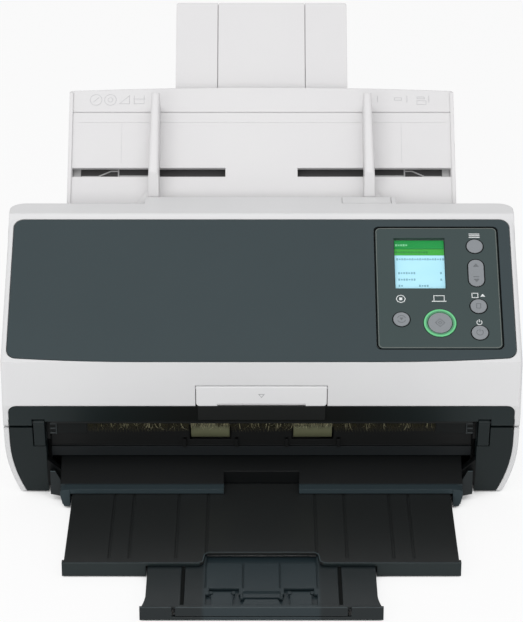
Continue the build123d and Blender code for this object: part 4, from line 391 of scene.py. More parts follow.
# Clips at the ends of the brush
CLIP_ABS = Finish("moulded_clip_abs", "#2c3233", "#272c2d", 0.35, specular=0.3)
# Pale pad-printed ink of the pictograms
PRINT_INK = Finish("pad_printed_pale_ink", "#e6e9e9", "#dfe3e3", 0.5)
# Marks moulded into the chute, hardly darker than it
FAINT_INK = Finish("moulded_faint_marks", "#cbcbcc", "#c8c8ca", 0.5)
# Grey ink of the pictograms on the keys
KEY_INK = Finish("pad_printed_key_ink", "#6d7174", "#6a6e71", 0.5, specular=0.3)
# Small arrow on the front flap
FLAP_INK = Finish("moulded_flap_mark", "#b4b5b7", "#b0b1b3", 0.5)


def assign(node: Object, material: Material) -> None:
    """Give a CAD node's object one material in all its slots.

    Args:
        node: The node's object.
        material: The new material.
    """
    if not node.material_slots:
        node.data.materials.append(material)
    for place in node.material_slots:
        place.material = material


@dataclass(frozen=True)
class Slope:
    """A sloping face of the scanner: a line in X, and a way up that leans back."""

    origin_y: float
    origin_z: float
    angle_deg: float

    def place(self, points: np.ndarray) -> np.ndarray:
        """Put points of the face into the scanner's frame.

        The place is the origin, plus the way up times its cosine and sine, plus the way out
        turned a quarter from it.

        Args:
            points: Rows of X, up and out in millimetres.

        Returns:
            Rows of X, Y and Z in metres.
        """
        angle = math.radians(self.angle_deg)
        y = self.origin_y + points[:, 1] * math.cos(angle) - points[:, 2] * math.sin(angle)
        z = self.origin_z + points[:, 1] * math.sin(angle) + points[:, 2] * math.cos(angle)
        return np.column_stack([points[:, 0], y, z]) / 1000.0


@dataclass
class MeshDraft:
    """Vertices and faces of a piece while it is being put together.

    Its flat forms stand on ``slope``, from ``low`` to ``high`` above it, in millimetres.
    """

    slope: Slope = Slope(0.0, 0.0, 0.0)
    low: float = 0.0
    high: float = 0.0
    points: list[np.ndarray] = field(default_factory=list)
    faces: list[list[int]] = field(default_factory=list)
    count: int = 0

    def add(self, points: np.ndarray, faces: list[list[int]]) -> None:
        """Add one closed form.

        Args:
            points: Its vertices, in metres.
            faces: Its faces, counted from its own first vertex.
        """
        self.points.append(points)
        self.faces.extend([[i + self.count for i in face] for face in faces])
        self.count += len(points)

    def between(self, low: float, high: float) -> MeshDraft:
        """Set the heights of the flat forms that follow, and return the draft."""
        self.low, self.high = low, high
        return self

    def fill(self, outline: Outline) -> None:
        """Add a straight-sided form over an outline."""
        self.add(*prism(outline, self.low, self.high, self.slope))

    def band(self, path: Outline, width: float, closed: bool = True) -> None:
        """Add a flat band along a path."""
        self.add(*ribbon(path, width, closed, self.low, self.high, self.slope))

    def finish(self, name: str, material: Material, body: str, slot: Slot) -> Object:
        """Make the object, and let it ride on its body.

        Args:
            name: Name of the piece.
            material: Its finish.
            body: The body that it moves with.
            slot: The record's material slot that it belongs to; not used.

        Returns:
            The new object.
        """
        mesh = bpy.data.meshes.new(name)
        mesh.from_pydata(np.vstack(self.points).tolist(), [], self.faces)
        mesh.validate()
        mesh.materials.append(material)
        piece = bpy.data.objects.new(name, mesh)
        bpy.context.scene.collection.objects.link(piece)
        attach(piece, body)
        LOG.info("piece %s: %d faces", name, len(mesh.polygons))
        return piece


def prism(outline: Outline, low: float, high: float, slope: Slope) -> tuple[np.ndarray, list[list[int]]]:
    """Straight-sided form over a flat outline that runs anticlockwise.

    The outline is repeated at both heights; side faces join the two rings.

    Args:
        outline: X and up of each corner, in millimetres.
        low: Height of the lower face above the slope.
        high: Height of the upper face.
        slope: The face that it stands on.

    Returns:
        Vertices in metres, and faces.
    """
    ring = np.array(outline)
    count = len(ring)
    points = np.vstack([np.column_stack([ring, np.full(count, height)]) for height in (low, high)])
    first = list(range(count))
    faces = [first[::-1], [i + count for i in first]]
    faces += [[i, (i + 1) % count, (i + 1) % count + count, i + count] for i in first]
    return slope.place(points), faces


def ribbon(path: Outline, width: float, closed: bool, low: float, high: float,
           slope: Slope) -> tuple[np.ndarray, list[list[int]]]:
    """Flat band along a path: the path moved half its width to either side.

    The sideways way at a corner is the mean of its two runs' normals, drawn out so that the
    band keeps its width.

    Args:
        path: X and up of the path's points.
        width: Width of the band.
        closed: Whether the last point joins the first.
        low: Height of its lower face.
        high: Height of its upper face.
        slope: The face that it lies on.

    Returns:
        Vertices in metres, and faces.
    """
    line = np.array(path)
    ahead = np.roll(line, -1, axis=0) - line
    if not closed:
        ahead[-1] = ahead[-2]
    ahead /= np.linalg.norm(ahead, axis=1)[:, None]
    behind = np.roll(ahead, 1, axis=0)
    if not closed:
        behind[0] = ahead[0]
    mean = ahead + behind
    mean /= np.linalg.norm(mean, axis=1)[:, None]
    side = np.column_stack([-mean[:, 1], mean[:, 0]])
    share = np.sum(mean * ahead, axis=1)
    side *= (width / 2.0 / np.maximum(share, 0.4))[:, None]
    left, right = line + side, line - side
    count = len(line)
    flat = np.vstack([left, right, right, left])
    heights = np.concatenate([np.full(2 * count, high), np.full(2 * count, low)])
    points = np.column_stack([flat, heights])
    faces: list[list[int]] = []
    steps = range(count if closed else count - 1)
    for i in steps:
        j = (i + 1) % count
        for row in range(4):
            a, b = row * count, ((row + 1) % 4) * count
            faces.append([a + i, a + j, b + j, b + i])
    if not closed:
        faces.append([0, count, 2 * count, 3 * count])
        faces.append([count - 1, 4 * count - 1, 3 * count - 1, 2 * count - 1])
    return slope.place(points), [face[::-1] for face in faces]


def ring_path(x: float, up: float, radius: float, start: float = 0.0, end: float = 360.0,
              count: int = 40) -> Outline:
    """Points of a circle or arc: its centre plus the radius times cosine and sine.

    Args:
        x: Centre across.
        up: Centre up the face.
        radius: Radius.
        start: First angle in degrees.
        end: Last angle in degrees; a full turn leaves out the last point.
        count: Number of points.

    Returns:
        The points.
    """
    full = abs(end - start) >= 360.0
    angles = np.radians(np.linspace(start, end, count, endpoint=not full))
    return list(zip((x + radius * np.cos(angles)).tolist(), (up + radius * np.sin(angles)).tolist()))


def arcs(starts: list[tuple[float, float, float]], radius: float, turn: float, count: int) -> Outline:
    """Points of arcs that follow one another, all of one radius and turn.

    Args:
        starts: For each arc the X and up of its centre, and its first angle in degrees.
        radius: Radius.
        turn: Degrees from its first point to its last.
        count: Number of points of an arc.

    Returns:
        The points.
    """
    return [(x + radius * math.cos(angle), up + radius * math.sin(angle)) for x, up, start in starts
            for angle in np.radians(np.linspace(start, start + turn, count)).tolist()]


def rectangle(x: float, up: float, width: float, height: float) -> Outline:
    """Four corners of a rectangle, anticlockwise, from its centre and size."""
    w, h = width / 2.0, height / 2.0
    return [(x - w, up - h), (x + w, up - h), (x + w, up + h), (x - w, up + h)]


@dataclass
class OperatorPanel:
    """The operator panel: display picture, pictograms and key marks.

    Distances ``s`` are counted down the slope from the dark panel's top edge.
    """

    slope: Slope
    screen_left: float = 78.0
    screen_right: float = 108.0
    screen_top: float = 13.6
    screen_bottom: float = 49.4
    screen_margin: float = 0.35
    picture_out: float = -2.1
    sheet: float = 0.05
    ink_low: float = -0.02
    ink_high: float = 0.07
    ink_line: float = 0.5
    key_low: float = 0.4
    key_high: float = 0.56
    rocker_low: float = 0.15
    rocker_high: float = 0.31
    menu: tuple[float, float] = (125.7, 19.7)
    rocker: tuple[float, float] = (125.8, 38.7)
    manual: tuple[float, float] = (126.2, 62.0)
    power: tuple[float, float] = (126.2, 80.3)
    stop: tuple[float, float] = (81.1, 71.1)
    scan: tuple[float, float] = (103.4, 73.6)
    bezel: tuple[float, float, float, float] = (67.75, 138.45, 6.75, 90.35)
    bezel_corner: float = 2.4
    key_radius: float = 4.75
    rocker_half: float = 4.5
    rocker_run: float = 4.85
    shade_low: float = -0.12
    shade_high: float = 0.012
    guide_inner: float = 7.85
    guide_outer: float = 9.57

    def area(self, name: str, finish: Finish, top: float, bottom: float) -> None:
        """Lay one coloured area of the picture, from side to side of the screen.

        Args:
            name: Name of the piece.
            finish: Its finish.
            top: Its upper edge down the slope.
            bottom: Its lower edge down the slope.
        """
        left, right = self.screen_left + self.screen_margin, self.screen_right - self.screen_margin
        draft = MeshDraft(self.slope, self.picture_out - self.sheet, self.picture_out)
        draft.fill(rectangle((left + right) / 2.0, -(top + bottom) / 2.0, right - left, bottom - top))
        draft.finish(name, finish.make(), "cover", Slot.SCREEN)

    def strokes(self, name: str, finish: Finish, rows: list[tuple[float, float, float]]) -> None:
        """Set rows of small blocks, in place of the display's words.

        Args:
            name: Name of the piece.
            finish: Its finish.
            rows: For each row its distance down the slope, its left end and its right end.
        """
        draft = MeshDraft(self.slope, self.picture_out, self.picture_out + self.sheet)
        for down, start, end in rows:
            for index, x in enumerate(np.arange(start + 0.5, end, 1.5).tolist()):
                draft.fill(rectangle(x, -down, 1.0, (1.5, 1.0, 1.3)[index % 3]))
        draft.finish(name, finish.make(), "cover", Slot.SCREEN)

    def picture(self) -> None:
        """Lay the display's coloured areas under its pane, and their strokes."""
        top = self.screen_top
        self.area("display_header", DISPLAY_HEADER, top + 0.35, top + 6.4)
        self.area("display_bar", DISPLAY_BAR, top + 6.6, top + 11.1)
        self.area("display_sheet", DISPLAY_SHEET, top + 11.1, self.screen_bottom - 0.3)
        self.strokes("display_header_strokes", DISPLAY_PALE, [(17.4, 79.0, 87.0)])
        self.strokes("display_bar_strokes", DISPLAY_GREEN, [(22.5, 79.0, 98.0)])
        self.strokes("display_strokes", DISPLAY_MARK,
                     [(27.5, 79.4, 107.0), (37.3, 80.2, 90.0), (37.3, 104.8, 106.0), (41.9, 80.2, 90.0),
                      (41.9, 104.8, 106.0), (46.3, 80.2, 82.6), (46.3, 92.2, 97.4)])

    def pictograms(self) -> None:
        """Print the pale pictograms beside the keys, where the real panel has words."""
        draft = MeshDraft(self.slope, self.ink_low, self.ink_high)
        line = self.ink_line
        for row in range(3):
            draft.fill(rectangle(self.menu[0], -(10.8 + row * 1.2), 6.4, 0.6))
        x = self.manual[0]
        draft.band(rectangle(x - 1.8, -54.4, 3.4, 3.0), line)
        draft.fill([(x + 1.2, -55.3), (x + 4.2, -55.3), (x + 2.7, -53.3)])
        x = self.power[0]
        draft.band(ring_path(x, -73.2, 1.5, 120.0, 420.0, 24), line, False)
        draft.fill(rectangle(x, -72.0, 0.55, 1.9))
        x = self.stop[0]
        draft.band(ring_path(x, -56.8, 2.6, 0.0, 360.0, 8), line)
        draft.fill(rectangle(x, -56.8, 1.9, 1.9))
        x = self.scan[0]
        draft.band([(x - 3.0, -58.2), (x - 3.0, -54.6), (x + 3.0, -54.6), (x + 3.0, -58.2)], line, False)
        draft.fill(rectangle(x, -58.5, 8.6, 0.6))
        draft.finish("panel_pictograms", PRINT_INK.make(), "cover", Slot.PANEL)

    def key_marks(self) -> None:
        """Print the diamond, the stop mark, the power mark and the arrows on the keys."""
        ink = KEY_INK.make()
        marks = {name: MeshDraft(self.slope, self.key_low, self.key_high) for name in (
            "scan_button", "stop_button", "power_button", "manual_feed_button", "scroll_rocker")}
        x, s = self.scan
        for size in (2.7, 1.1):
            marks["scan_button"].band([(x - size, -s), (x, -s - size), (x + size, -s), (x, -s + size)], 0.28)
        x, s = self.stop
        for start in (200.0, 20.0):
            marks["stop_button"].band(ring_path(x, -s, 2.4, start, start + 140.0, 12), 0.3, False)
        marks["stop_button"].fill([(x - 1.0, -s + 0.9), (x, -s - 0.9), (x + 1.0, -s + 0.9)])
        x, s = self.power
        marks["power_button"].band(ring_path(x, -s, 1.9, 120.0, 420.0, 24), 0.3, False)
        marks["power_button"].fill(rectangle(x, -s + 1.4, 0.35, 1.9))
        x, s = self.manual
        marks["manual_feed_button"].band(rectangle(x, -s, 2.4, 3.2), 0.25)
        x, s = self.rocker
        arrows = marks["scroll_rocker"].between(self.rocker_low, self.rocker_high)
        arrows.fill([(x - 1.6, -s + 4.4), (x + 1.6, -s + 4.4), (x, -s + 6.7)])
        arrows.fill(rectangle(x, -s - 2.7, 3.4, 0.35))
        arrows.fill([(x + 1.6, -s - 4.2), (x - 1.6, -s - 4.2), (x, -s - 6.5)])
        for body, draft in marks.items():
            draft.finish(body + "_mark", ink, body, Slot.BUTTON)

    def rounded(self, grow: float) -> Outline:
        """Outline of the bezel grown by a distance: its sides joined by quarter circles.

        Args:
            grow: How far outwards.

        Returns:
            X and up of the outline's points.
        """
        left, right, top, bottom = self.bezel
        corner = self.bezel_corner
        left, right, top, bottom = left + corner, right - corner, -top - corner, -bottom + corner
        return arcs([(right, top, 0.0), (left, top, 90.0), (left, bottom, 180.0), (right, bottom, 270.0)],
                    corner + grow, 90.0, 7)

    def edges(self) -> None:
        """Run the painted highlight line and the painted groove shade round the bezel, the painted shade
        round the keys, and the scan ring's painted spill and shade.
        """
        line = MeshDraft(self.slope, self.ink_low, 0.03)
        line.band(self.rounded(0.0), 0.34)
        line.finish("bezel_highlight_line", BEVEL_HIGHLIGHT.make(), "cover", Slot.PANEL)
        groove = MeshDraft(self.slope, -0.45, -0.35)
        groove.band(self.rounded(0.95), 0.8)
        groove.between(self.shade_low, self.shade_high)
        for x, s in (self.menu, self.manual, self.power, self.stop):
            groove.band(ring_path(x, -s, self.key_radius + 0.35, count=48), 0.56)
        x, s = self.rocker
        run = self.rocker_run
        groove.band(arcs([(x, -s + run, 0.0), (x, -s - run, 180.0)], self.rocker_half + 0.46, 180.0, 15), 0.4)
        groove.finish("panel_groove_shade", GROOVE_SHADE.make(), "cover", Slot.PANEL)
        x, s = self.scan
        spill = MeshDraft(self.slope, -0.25, -0.15)
        spill.band(ring_path(x, -s, self.guide_outer, count=48), 0.34)
        spill.finish("scan_ring_painted_spill", GUIDE_SPILL.make(), "cover", Slot.PANEL)
        inner = MeshDraft(self.slope, 0.2, 0.28)
        inner.band(ring_path(x, -s, self.guide_inner, count=48), 0.9)
        inner.finish("scan_ring_painted_shade", GUIDE_INNER.make(), "cover", Slot.PANEL)

    def build(self) -> None:
        """Make the whole panel's markings."""
        self.edges()
        self.picture()
        self.pictograms()
        self.key_marks()


@dataclass
class FeedChute:
    """The chute's faint marks, and the ribs that show in its two slots."""

    slope: Slope
    mark_c: float = 59.0
    ink_low: float = -0.02
    ink_high: float = 0.04
    ink_line: float = 0.3
    slot_floor: float = -6.25

    def marks(self) -> None:
        """Sink the faint ring, sheet and tray marks and the size ticks near the top."""
        draft = MeshDraft(self.slope, self.ink_low, self.ink_high)
        line = self.ink_line
        for x in (-101.8, -93.0):
            draft.band(ring_path(x, self.mark_c, 3.6), line)
        draft.band([(-103.4, 57.6), (-100.2, 60.4)], line, False)
        draft.band(ring_path(-93.0, self.mark_c, 1.5), line)
        draft.band([(-87.4, 56.4), (-81.2, 56.4), (-81.2, 62.0)], line)
        draft.band([(-78.4, 62.0), (-78.4, 56.4), (-72.2, 56.4), (-72.2, 62.0)], line, False)
        draft.band([(-79.0, 59.6), (-71.6, 59.6)], line, False)
        for x, up, width, height in ((84.0, 59.6, 4.4, 1.6), (98.0, 60.4, 4.4, 1.2), (98.4, 57.2, 5.6, 2.6)):
            draft.band(rectangle(x, up, width, height), line)
        for x in (71.5, 89.5, 103.0):
            draft.fill(rectangle(x, 59.6, 0.35, 4.4))
        for x in (-85.6, 85.6):
            draft.fill(rectangle(x, 30.0, 0.14, 27.0))
        draft.finish("chute_marks", FAINT_INK.make(), "base", Slot.WHITE)

    def slots(self) -> None:
        """Line the slots with a dark sheet of painted shade and set the ribs that cross it."""
        low = self.slot_floor
        # floor holds the dark sheet of painted shade at the slots' depth
        floor, ribs = MeshDraft(self.slope, low - 0.05, low), MeshDraft(self.slope)
        for sign in (-1, 1):
            floor.fill(rectangle(sign * 67.5, 10.5, 95.0, 9.0))
            ribs.between(low, -5.85).fill(rectangle(sign * 112.6, 10.5, 4.4, 9.0))
            ribs.fill(rectangle(sign * 87.4, 10.5, 0.9, 9.0))
            ribs.between(low, -6.1).fill(rectangle(sign * 74.5, 9.6, 25.0, 3.0))
            path = [(sign * 110.0, 10.2), (sign * 99.8, 10.2), (sign * 92.0, 13.8), (sign * 87.4, 13.8)]
            ribs.between(low, -5.9).band(path, 0.8, False)
        floor.finish("chute_slot_shade", SLOT_SHADE.make(), "base", Slot.WHITE)
        ribs.finish("chute_slot_ribs", RIB_ABS.make(), "base", Slot.WHITE)

    def build(self) -> None:
        """Make the marks and the insides of the slots."""
        self.marks()
        self.slots()


@dataclass
class ExitBay:
    """The exit: the brush's loose fibres and holder ends, painted light on the gussets' faces, the flap's
    arrow.
    """

    shift_y: float
    brush_y: float = -77.0
    gusset_y: float = -80.0
    flap_y: float = -85.0
    root_z: float = 50.2
    half_width: float = 101.3
    tyre_inner: float = 18.9
    tyre_outer: float = 41.2
    fibre_length: float = 6.3

    def grow(self, name: str, finish: Finish, x: np.ndarray, reach: float, spread: float, width: float,
             seed: int) -> None:
        """Grow thin three-sided fibres: each root on the strip, its tip leaning by chance.

        A fibre is a root triangle, the same triangle again lower and to the side, and a tip
        point; all are worked out as arrays at once.

        Args:
            name: Name of the piece.
            finish: Its finish.
            x: Where the roots stand along the strip.
            reach: Largest length as a share of the brush's.
            spread: Spread of the lean, in radians.
            width: Width of a fibre.
            seed: Seed of the random numbers.
        """
        chance = np.random.default_rng(seed)
        count = len(x)
        y = self.shift_y + self.brush_y + chance.uniform(-1.0, 0.6, count)
        length = self.fibre_length * chance.uniform(0.45, 1.0, count) * reach
        lean = chance.normal(0.0, spread, count)
        forward = chance.normal(-0.05, 0.10, count)
        angles = np.radians(np.array([90.0, 210.0, 330.0]))
        root = np.stack([np.stack([x + width * math.cos(a), y + width * math.sin(a),
                                   np.full(count, self.root_z)], axis=1) for a in angles], axis=1)
        middle = root.copy()
        middle[:, :, 0] += (lean * length * 0.3)[:, None]
        middle[:, :, 1] += (forward * length * 0.4)[:, None]
        middle[:, :, 2] -= (length * 0.55)[:, None]
        tip = np.stack([x + lean * length, y + forward * length, self.root_z - length * np.cos(lean)], axis=1)
        points = np.concatenate([root, middle, tip[:, None, :]], axis=1).reshape(-1, 3) / 1000.0
        pattern = [[2, 1, 0], [0, 1, 4, 3], [1, 2, 5, 4], [2, 0, 3, 5], [3, 4, 6], [4, 5, 6], [5, 3, 6]]
        faces = [[i + 7 * k for i in face] for k in range(count) for face in pattern]
        draft = MeshDraft()
        draft.add(points, faces)
        draft.finish(name, finish.make(), "cover", Slot.BRISTLE)

    def fibres(self) -> None:
        """Grow the dull hair all along, tufts of hair drawn as a painted glint, and such a fringe at each
        tyre.
        """
        chance = np.random.default_rng(7)
        dull = chance.uniform(-self.half_width, self.half_width, 700)
        self.grow("brush_dull_fibres", DULL_HAIR, dull, 0.95, 0.5, 0.12, 3)
        tufts = chance.uniform(-self.half_width, self.half_width, 44)
        bright = np.repeat(tufts, 3) + chance.normal(0.0, 0.9, 132)
        self.grow("brush_glint_fibres", GLINT_HAIR, np.clip(bright, -100.0, 100.0), 1.0, 0.6, 0.15, 4)
        fringe = chance.uniform(self.tyre_inner, self.tyre_outer, 210)
        fringe *= np.where(np.arange(210) % 2, 1.0, -1.0)
        self.grow("brush_tyre_glint_fringe", GLINT_HAIR, fringe, 0.62, 0.25, 0.12, 5)

    def holder_ends(self) -> None:
        """Set the plates that hold the brush's bare ends, dark with the exit's painted shade, and the small
        clips outside them.
        """
        face = Slope(self.shift_y + self.brush_y, 0.0, 90.0)
        plates, clips = MeshDraft(face), MeshDraft(face)
        for sign in (-1, 1):
            plates.between(-0.7, 0.75).fill(rectangle(sign * 110.4, 46.6, 17.4, 6.8))
            plates.between(-0.6, 0.5).fill(rectangle(sign * 121.6, 46.9, 3.8, 8.4))
            for up in (43.6, 46.6, 49.6):
                clips.between(0.5, 1.1).fill(rectangle(sign * 121.6, up, 3.2, 0.9))
            clips.between(0.5, 1.2).band([(sign * 119.6, 50.6), (sign * 119.6, 42.9)], 0.6, False)
        # the plates take the exit's painted shade
        plates.finish("brush_holder_ends", INNER_SHADE.make(), "cover", Slot.DARK)
        clips.finish("brush_holder_clips", CLIP_ABS.make(), "cover", Slot.DARK)

    def gussets(self) -> None:
        """Lay sheets of painted light on the gussets' faces at the exit's corners, and painted highlights
        along their shelves.
        """
        face = Slope(self.shift_y + self.gusset_y, 0.0, 90.0)
        # plates are sheets of painted light, shelves are painted highlight lines
        plates, shelves = MeshDraft(face, 0.0, 0.05), MeshDraft(face, 0.05, 0.09)
        corners = ((123.9, 19.4), (120.9, 19.4), (116.5, 10.6), (116.4, 2.6), (123.9, 4.4))
        for sign in (-1, 1):
            plates.fill([(sign * x, up) for x, up in corners][::sign])
            shelves.band([(sign * 123.9, 19.3), (sign * 121.0, 19.3)], 0.35, False)
        plates.finish("gusset_painted_light", EXTENSION_ABS.make(), "base", Slot.DARK)
        shelves.finish("gusset_shelf_highlights", EDGE_HIGHLIGHT.make(), "base", Slot.DARK)

    def flap_arrow(self) -> None:
        """Print the small downward arrow on the front flap."""
        face = Slope(self.shift_y + self.flap_y, 0.0, 90.0)
        draft = MeshDraft(face, -0.02, 0.06)
        draft.band([(-1.6, 72.0), (1.6, 72.0), (0.0, 70.0)], 0.35)
        draft.finish("flap_arrow", FLAP_INK.make(), "front_flap", Slot.WHITE)

    def build(self) -> None:
        """Make the fibres, the holder's ends, the gussets' painted light and the arrow."""
        self.fibres()
        self.holder_ends()
        self.gussets()
        self.flap_arrow()


@dataclass
class StackerEdges:
    """Painted highlights along the stacker's tray edges and painted shade in the extension's grooves."""

    shift_y: float
    tray_front: float = -169.5
    tray_top: float = 8.8
    tray_half: float = 111.5
    notch_half: float = 32.6
    notch_depth: float = 12.0
    bar_front: float = -217.0
    bar_top: float = 8.2
    deck_top: float = 6.7

    def level(self, height: float) -> MeshDraft:
        """Draft of thin lines on a level face, whose way up is towards the machine."""
        return MeshDraft(Slope(self.shift_y, height, 0.0), -0.02, 0.02)

    def tray_edge(self) -> None:
        """Run a painted highlight line along the tray's front edge and round its notch."""
        front, rear = self.tray_front + 0.3, self.tray_front + self.notch_depth - 0.3
        half = self.notch_half
        draft = self.level(self.tray_top)
        for sign in (-1, 1):
            path = [(self.tray_half, front), (half + 3.0, front), (half + 0.3, front + 2.0),
                    (half - 0.6, rear - 1.6), (half - 2.8, rear + 0.6), (0.0, rear + 0.6)]
            draft.band([(sign * x, y) for x, y in path], 0.4, False)
        draft.finish("tray_edge_highlight", EDGE_HIGHLIGHT.make(), "stacker_tray", Slot.DARK)

    def bar_edges(self) -> None:
        """Run painted highlight lines along the extension's front bar and the stopper."""
        y = self.bar_front + 0.25
        ends, middle = self.level(self.bar_top), self.level(self.bar_top)
        for sign in (-1, 1):
            ends.band([(sign * 66.2, y), (sign * 49.0, y)], 0.35, False)
        ends.finish("extension_edge_highlight", EDGE_HIGHLIGHT.make(), "stacker_extension", Slot.DARK)
        middle.band([(-46.8, y), (46.8, y)], 0.4, False)
        middle.finish("stopper_edge_highlight", EDGE_HIGHLIGHT.make(), "stopper", Slot.DARK)

    def grooves(self) -> None:
        """Fill the extension's two deep grooves with painted shade."""
        draft = self.level(self.deck_top).between(-0.35, 0.01)
        for x in (-43.4, 43.4):
            draft.fill(rectangle(x, -191.0, 1.7, 42.4))
        draft.finish("extension_groove_shade", GROOVE_SHADE.make(), "stacker_extension", Slot.DARK)

    def build(self) -> None:
        """Make the painted edge highlights and the grooves' painted shade."""
        self.tray_edge()
        self.bar_edges()
        self.grooves()


@dataclass
class Studio:
    """Pale floor, soft lamps and the camera at the photograph's angle."""

    shift_y: float
    elevation_deg: float = 24.5
    camera_y: float = -1486.9
    camera_z: float = 763.7
    focal_px: float = 2710.0
    image_height_px: float = 622.0
    sensor_mm: float = 36.0
    ambient: float = 0.70
    floor_white: float = 0.85
    cover_reach: float = 0.03
    cover_full: float = 0.12
    cover_none: float = 0.42

    def seen_directly(self, tree: Tree) -> Socket:
        """Tell rays of the camera, of reflections and of glass from those that only light.

        Args:
            tree: Node tree that asks.

        Returns:
            A socket that is one for such a ray and otherwise zero.
        """
        rays = add_node(tree, "LightPath")
        direct = add_node(tree, "Math", {"operation": "MAXIMUM"},
                          {0: rays.outputs["Is Camera Ray"], 1: rays.outputs["Is Transmission Ray"]})
        seen = add_node(tree, "Math", {"operation": "MAXIMUM"},
                        {0: direct.outputs[0], 1: rays.outputs["Is Glossy Ray"]})
        return seen.outputs[0]

    def floor(self) -> None:
        """Lay a pale floor that the camera and reflections see as white, except close under the part."""
        size, level = 3.0, -0.0002
        mesh = bpy.data.meshes.new("studio_floor")
        mesh.from_pydata([(-size, -size, level), (size, -size, level), (size, size, level),
                          (-size, size, level)], [], [(0, 1, 2, 3)])
        material = bpy.data.materials.new("pale_paper_floor")
        tree = bare_tree(material)
        paper = add_node(tree, "BsdfDiffuse", {"Color": linear("#f6f6f6")})
        white = add_node(tree, "Emission", {"Color": (1.0, 1.0, 1.0, 1.0), "Strength": 1.0})
        cover = add_node(tree, "AmbientOcclusion", {"samples": 8, "Distance": self.cover_reach})
        ends = {"From Min": self.cover_full, "From Max": self.cover_none, "To Max": self.floor_white}
        bare = add_node(tree, "MapRange", ends, {"Value": cover.outputs["AO"]})
        share = add_node(tree, "Math", {"operation": "MULTIPLY"},
                         {0: self.seen_directly(tree), 1: bare.outputs[0]})
        mix = add_node(tree, "MixShader", {},
                       {0: share.outputs[0], 1: paper.outputs[0], 2: white.outputs[0]})
        add_node(tree, "OutputMaterial", {}, {"Surface": mix.outputs[0]})
        mesh.materials.append(material)
        plane = bpy.data.objects.new("studio_floor", mesh)
        bpy.context.scene.collection.objects.link(plane)

    def world(self) -> None:
        """Light evenly from all round, and show white to the camera, reflections and glass."""
        world = bpy.data.worlds.new("studio_sky")
        bpy.context.scene.world = world
        tree = bare_tree(world)
        even = add_node(tree, "Background", {"Color": linear("#f5f5f6"), "Strength": self.ambient})
        white = add_node(tree, "Background", {"Color": (1.0, 1.0, 1.0, 1.0), "Strength": 1.0})
        mix = add_node(tree, "MixShader", {},
                       {0: self.seen_directly(tree), 1: even.outputs[0], 2: white.outputs[0]})
        add_node(tree, "OutputWorld", {}, {"Surface": mix.outputs[0]})

    def lamp(self, name: str, place: tuple[float, float, float], width: float, height: float,
             power: float) -> None:
        """Hang a soft lamp that faces the scanner.

        Args:
            name: Name of the lamp.
            place: Its place in metres.
            width: Its width in metres.
            height: Its height in metres.
            power: Its power in watts.
        """
        light = bpy.data.lights.new(name, "AREA")
        light.shape = "RECTANGLE"
        light.size = width
        light.size_y = height
        light.energy = power
        lamp = bpy.data.objects.new(name, light)
        lamp.location = place
        ahead = np.array([0.0, 0.0, 0.08]) - np.array(place)
        flat = math.hypot(float(ahead[0]), float(ahead[1]))
        lamp.rotation_euler = (math.atan2(flat, -float(ahead[2])), 0.0,
                               math.atan2(float(ahead[1]), float(ahead[0])) - math.pi / 2.0)
        bpy.context.scene.collection.objects.link(lamp)

    def camera(self) -> None:
        """Set the camera from the fitted place, angle and focal length."""
        data = bpy.data.cameras.new("photo_camera")
        data.sensor_width = self.sensor_mm
        data.sensor_fit = "AUTO"
        data.lens = self.focal_px / self.image_height_px * self.sensor_mm
        data.clip_start = 0.05
        data.clip_end = 20.0
        camera = bpy.data.objects.new("photo_camera", data)
        camera.location = (0.0, (self.camera_y + self.shift_y) / 1000.0, self.camera_z / 1000.0)
        camera.rotation_euler = (math.radians(90.0 - self.elevation_deg), 0.0, 0.0)
        bpy.context.scene.collection.objects.link(camera)
        bpy.context.scene.camera = camera

    def build(self) -> None:
        """Set up the whole studio."""
        self.floor()
        self.world()
        self.lamp("top_softbox", (-0.1, -0.75, 1.5), 1.8, 0.6, 7.6)
        self.lamp("front_softbox", (-0.35, -1.9, 0.6), 1.6, 0.8, 10.5)
        self.camera()
        scene = bpy.context.scene
        scene.view_settings.view_transform = "Standard"


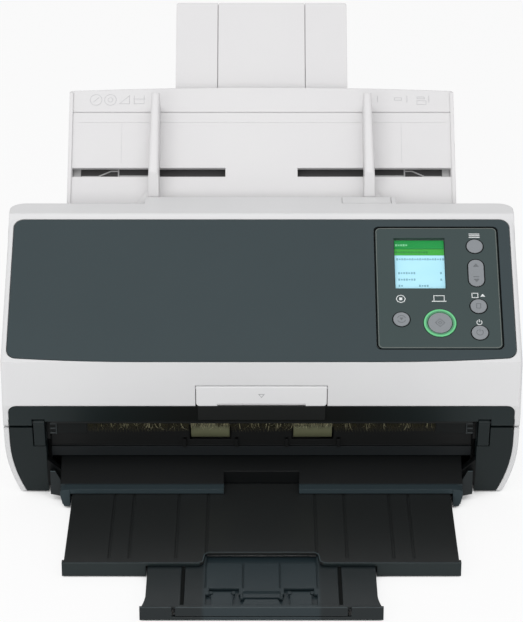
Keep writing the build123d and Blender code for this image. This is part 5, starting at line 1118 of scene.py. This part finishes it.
NODE_FINISHES: list[tuple[Finish, str]] = [
    (SHELL_ABS, "top_shell release_tab left_side_cover right_side_cover rear_cover"),
    (CHUTE_LIT, "chute_plate chute_back left_side_guide right_side_guide chute_extension "
                "chute_inner_extension"),
    (SLATE_ABS, "front_panel"), (BEZEL_ABS, "operator_bezel"), (FLAP_LIT, "front_flap"),
    (KEY_ABS, "menu_button manual_feed_button power_button stop_button scan_button scroll_rocker"),
    (LIGHT_GUIDE, "scan_light_ring"), (ACRYLIC, "lcd_window"), (BOARD_LAMINATE, "panel_board main_board"),
    (BLACK_PC, "lcd_module upper_scan_unit lower_scan_unit dc_jack"),
    (SCAN_GLASS, "upper_scan_glass lower_scan_glass"), (STRIP_SHADE, "exit_strip"),
    (BRUSH_HAIR, "discharge_brush"), (INNER_SHADE, "inner_guide bottom_plate"),
    (GREY_TYRE, "brake_roller feed_roller drive_roller"), (KHAKI_TYRE, "pick_tyres eject_tyres"),
    (ACETAL, "drive_idler eject_idler motor_pulley guide_pinion"), (CHEEK_ABS, "front_cheeks hinge_caps"),
    (FLOOR_SHADE_AND_SHEEN, "exit_floor"), (GUIDE_LIGHT_AND_SHADE, "lower_paper_guide"), (BLACK_STEEL, "hinge_pins"),
    (PAINTED_STEEL, "chassis_plates"), (MOTOR_CAN, "drive_motor"), (BELT_RUBBER, "drive_belt"),
    (NICKEL_SHELL, "data_ports"), (FOOT_RUBBER, "rubber_feet"),
    (ZINC_STEEL, "case_screws pick_shaft eject_shaft"), (TRAY_ABS, "stacker_tray"),
    (EXTENSION_ABS, "stacker_extension stacker_end stopper"),
]


def dress_nodes(nodes: dict[str, Object]) -> None:
    """Give every CAD node the material of its finish, made once each.

    Args:
        nodes: The frame's nodes by name.
    """
    for finish, names in NODE_FINISHES:
        material = finish.make()
        for name in names.split():
            assign(nodes[name], material)
    LOG.info("dressed %d of %d nodes", sum(len(names.split()) for _, names in NODE_FINISHES), len(nodes))


def main() -> None:
    """Load the frame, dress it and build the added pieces."""
    logging.basicConfig(level=logging.INFO)
    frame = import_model()
    panel = Slope(SHIFT_Y, PANEL_TOP_Z, PANEL_ANGLE)
    chute = Slope(CHUTE_FOOT_Y + SHIFT_Y, CHUTE_FOOT_Z, CHUTE_ANGLE)
    Studio(SHIFT_Y).build()
    dress_nodes(frame["nodes"])
    OperatorPanel(panel).build()
    FeedChute(chute).build()
    ExitBay(SHIFT_Y).build()
    StackerEdges(SHIFT_Y).build()


if __name__ == "__main__":
    main()
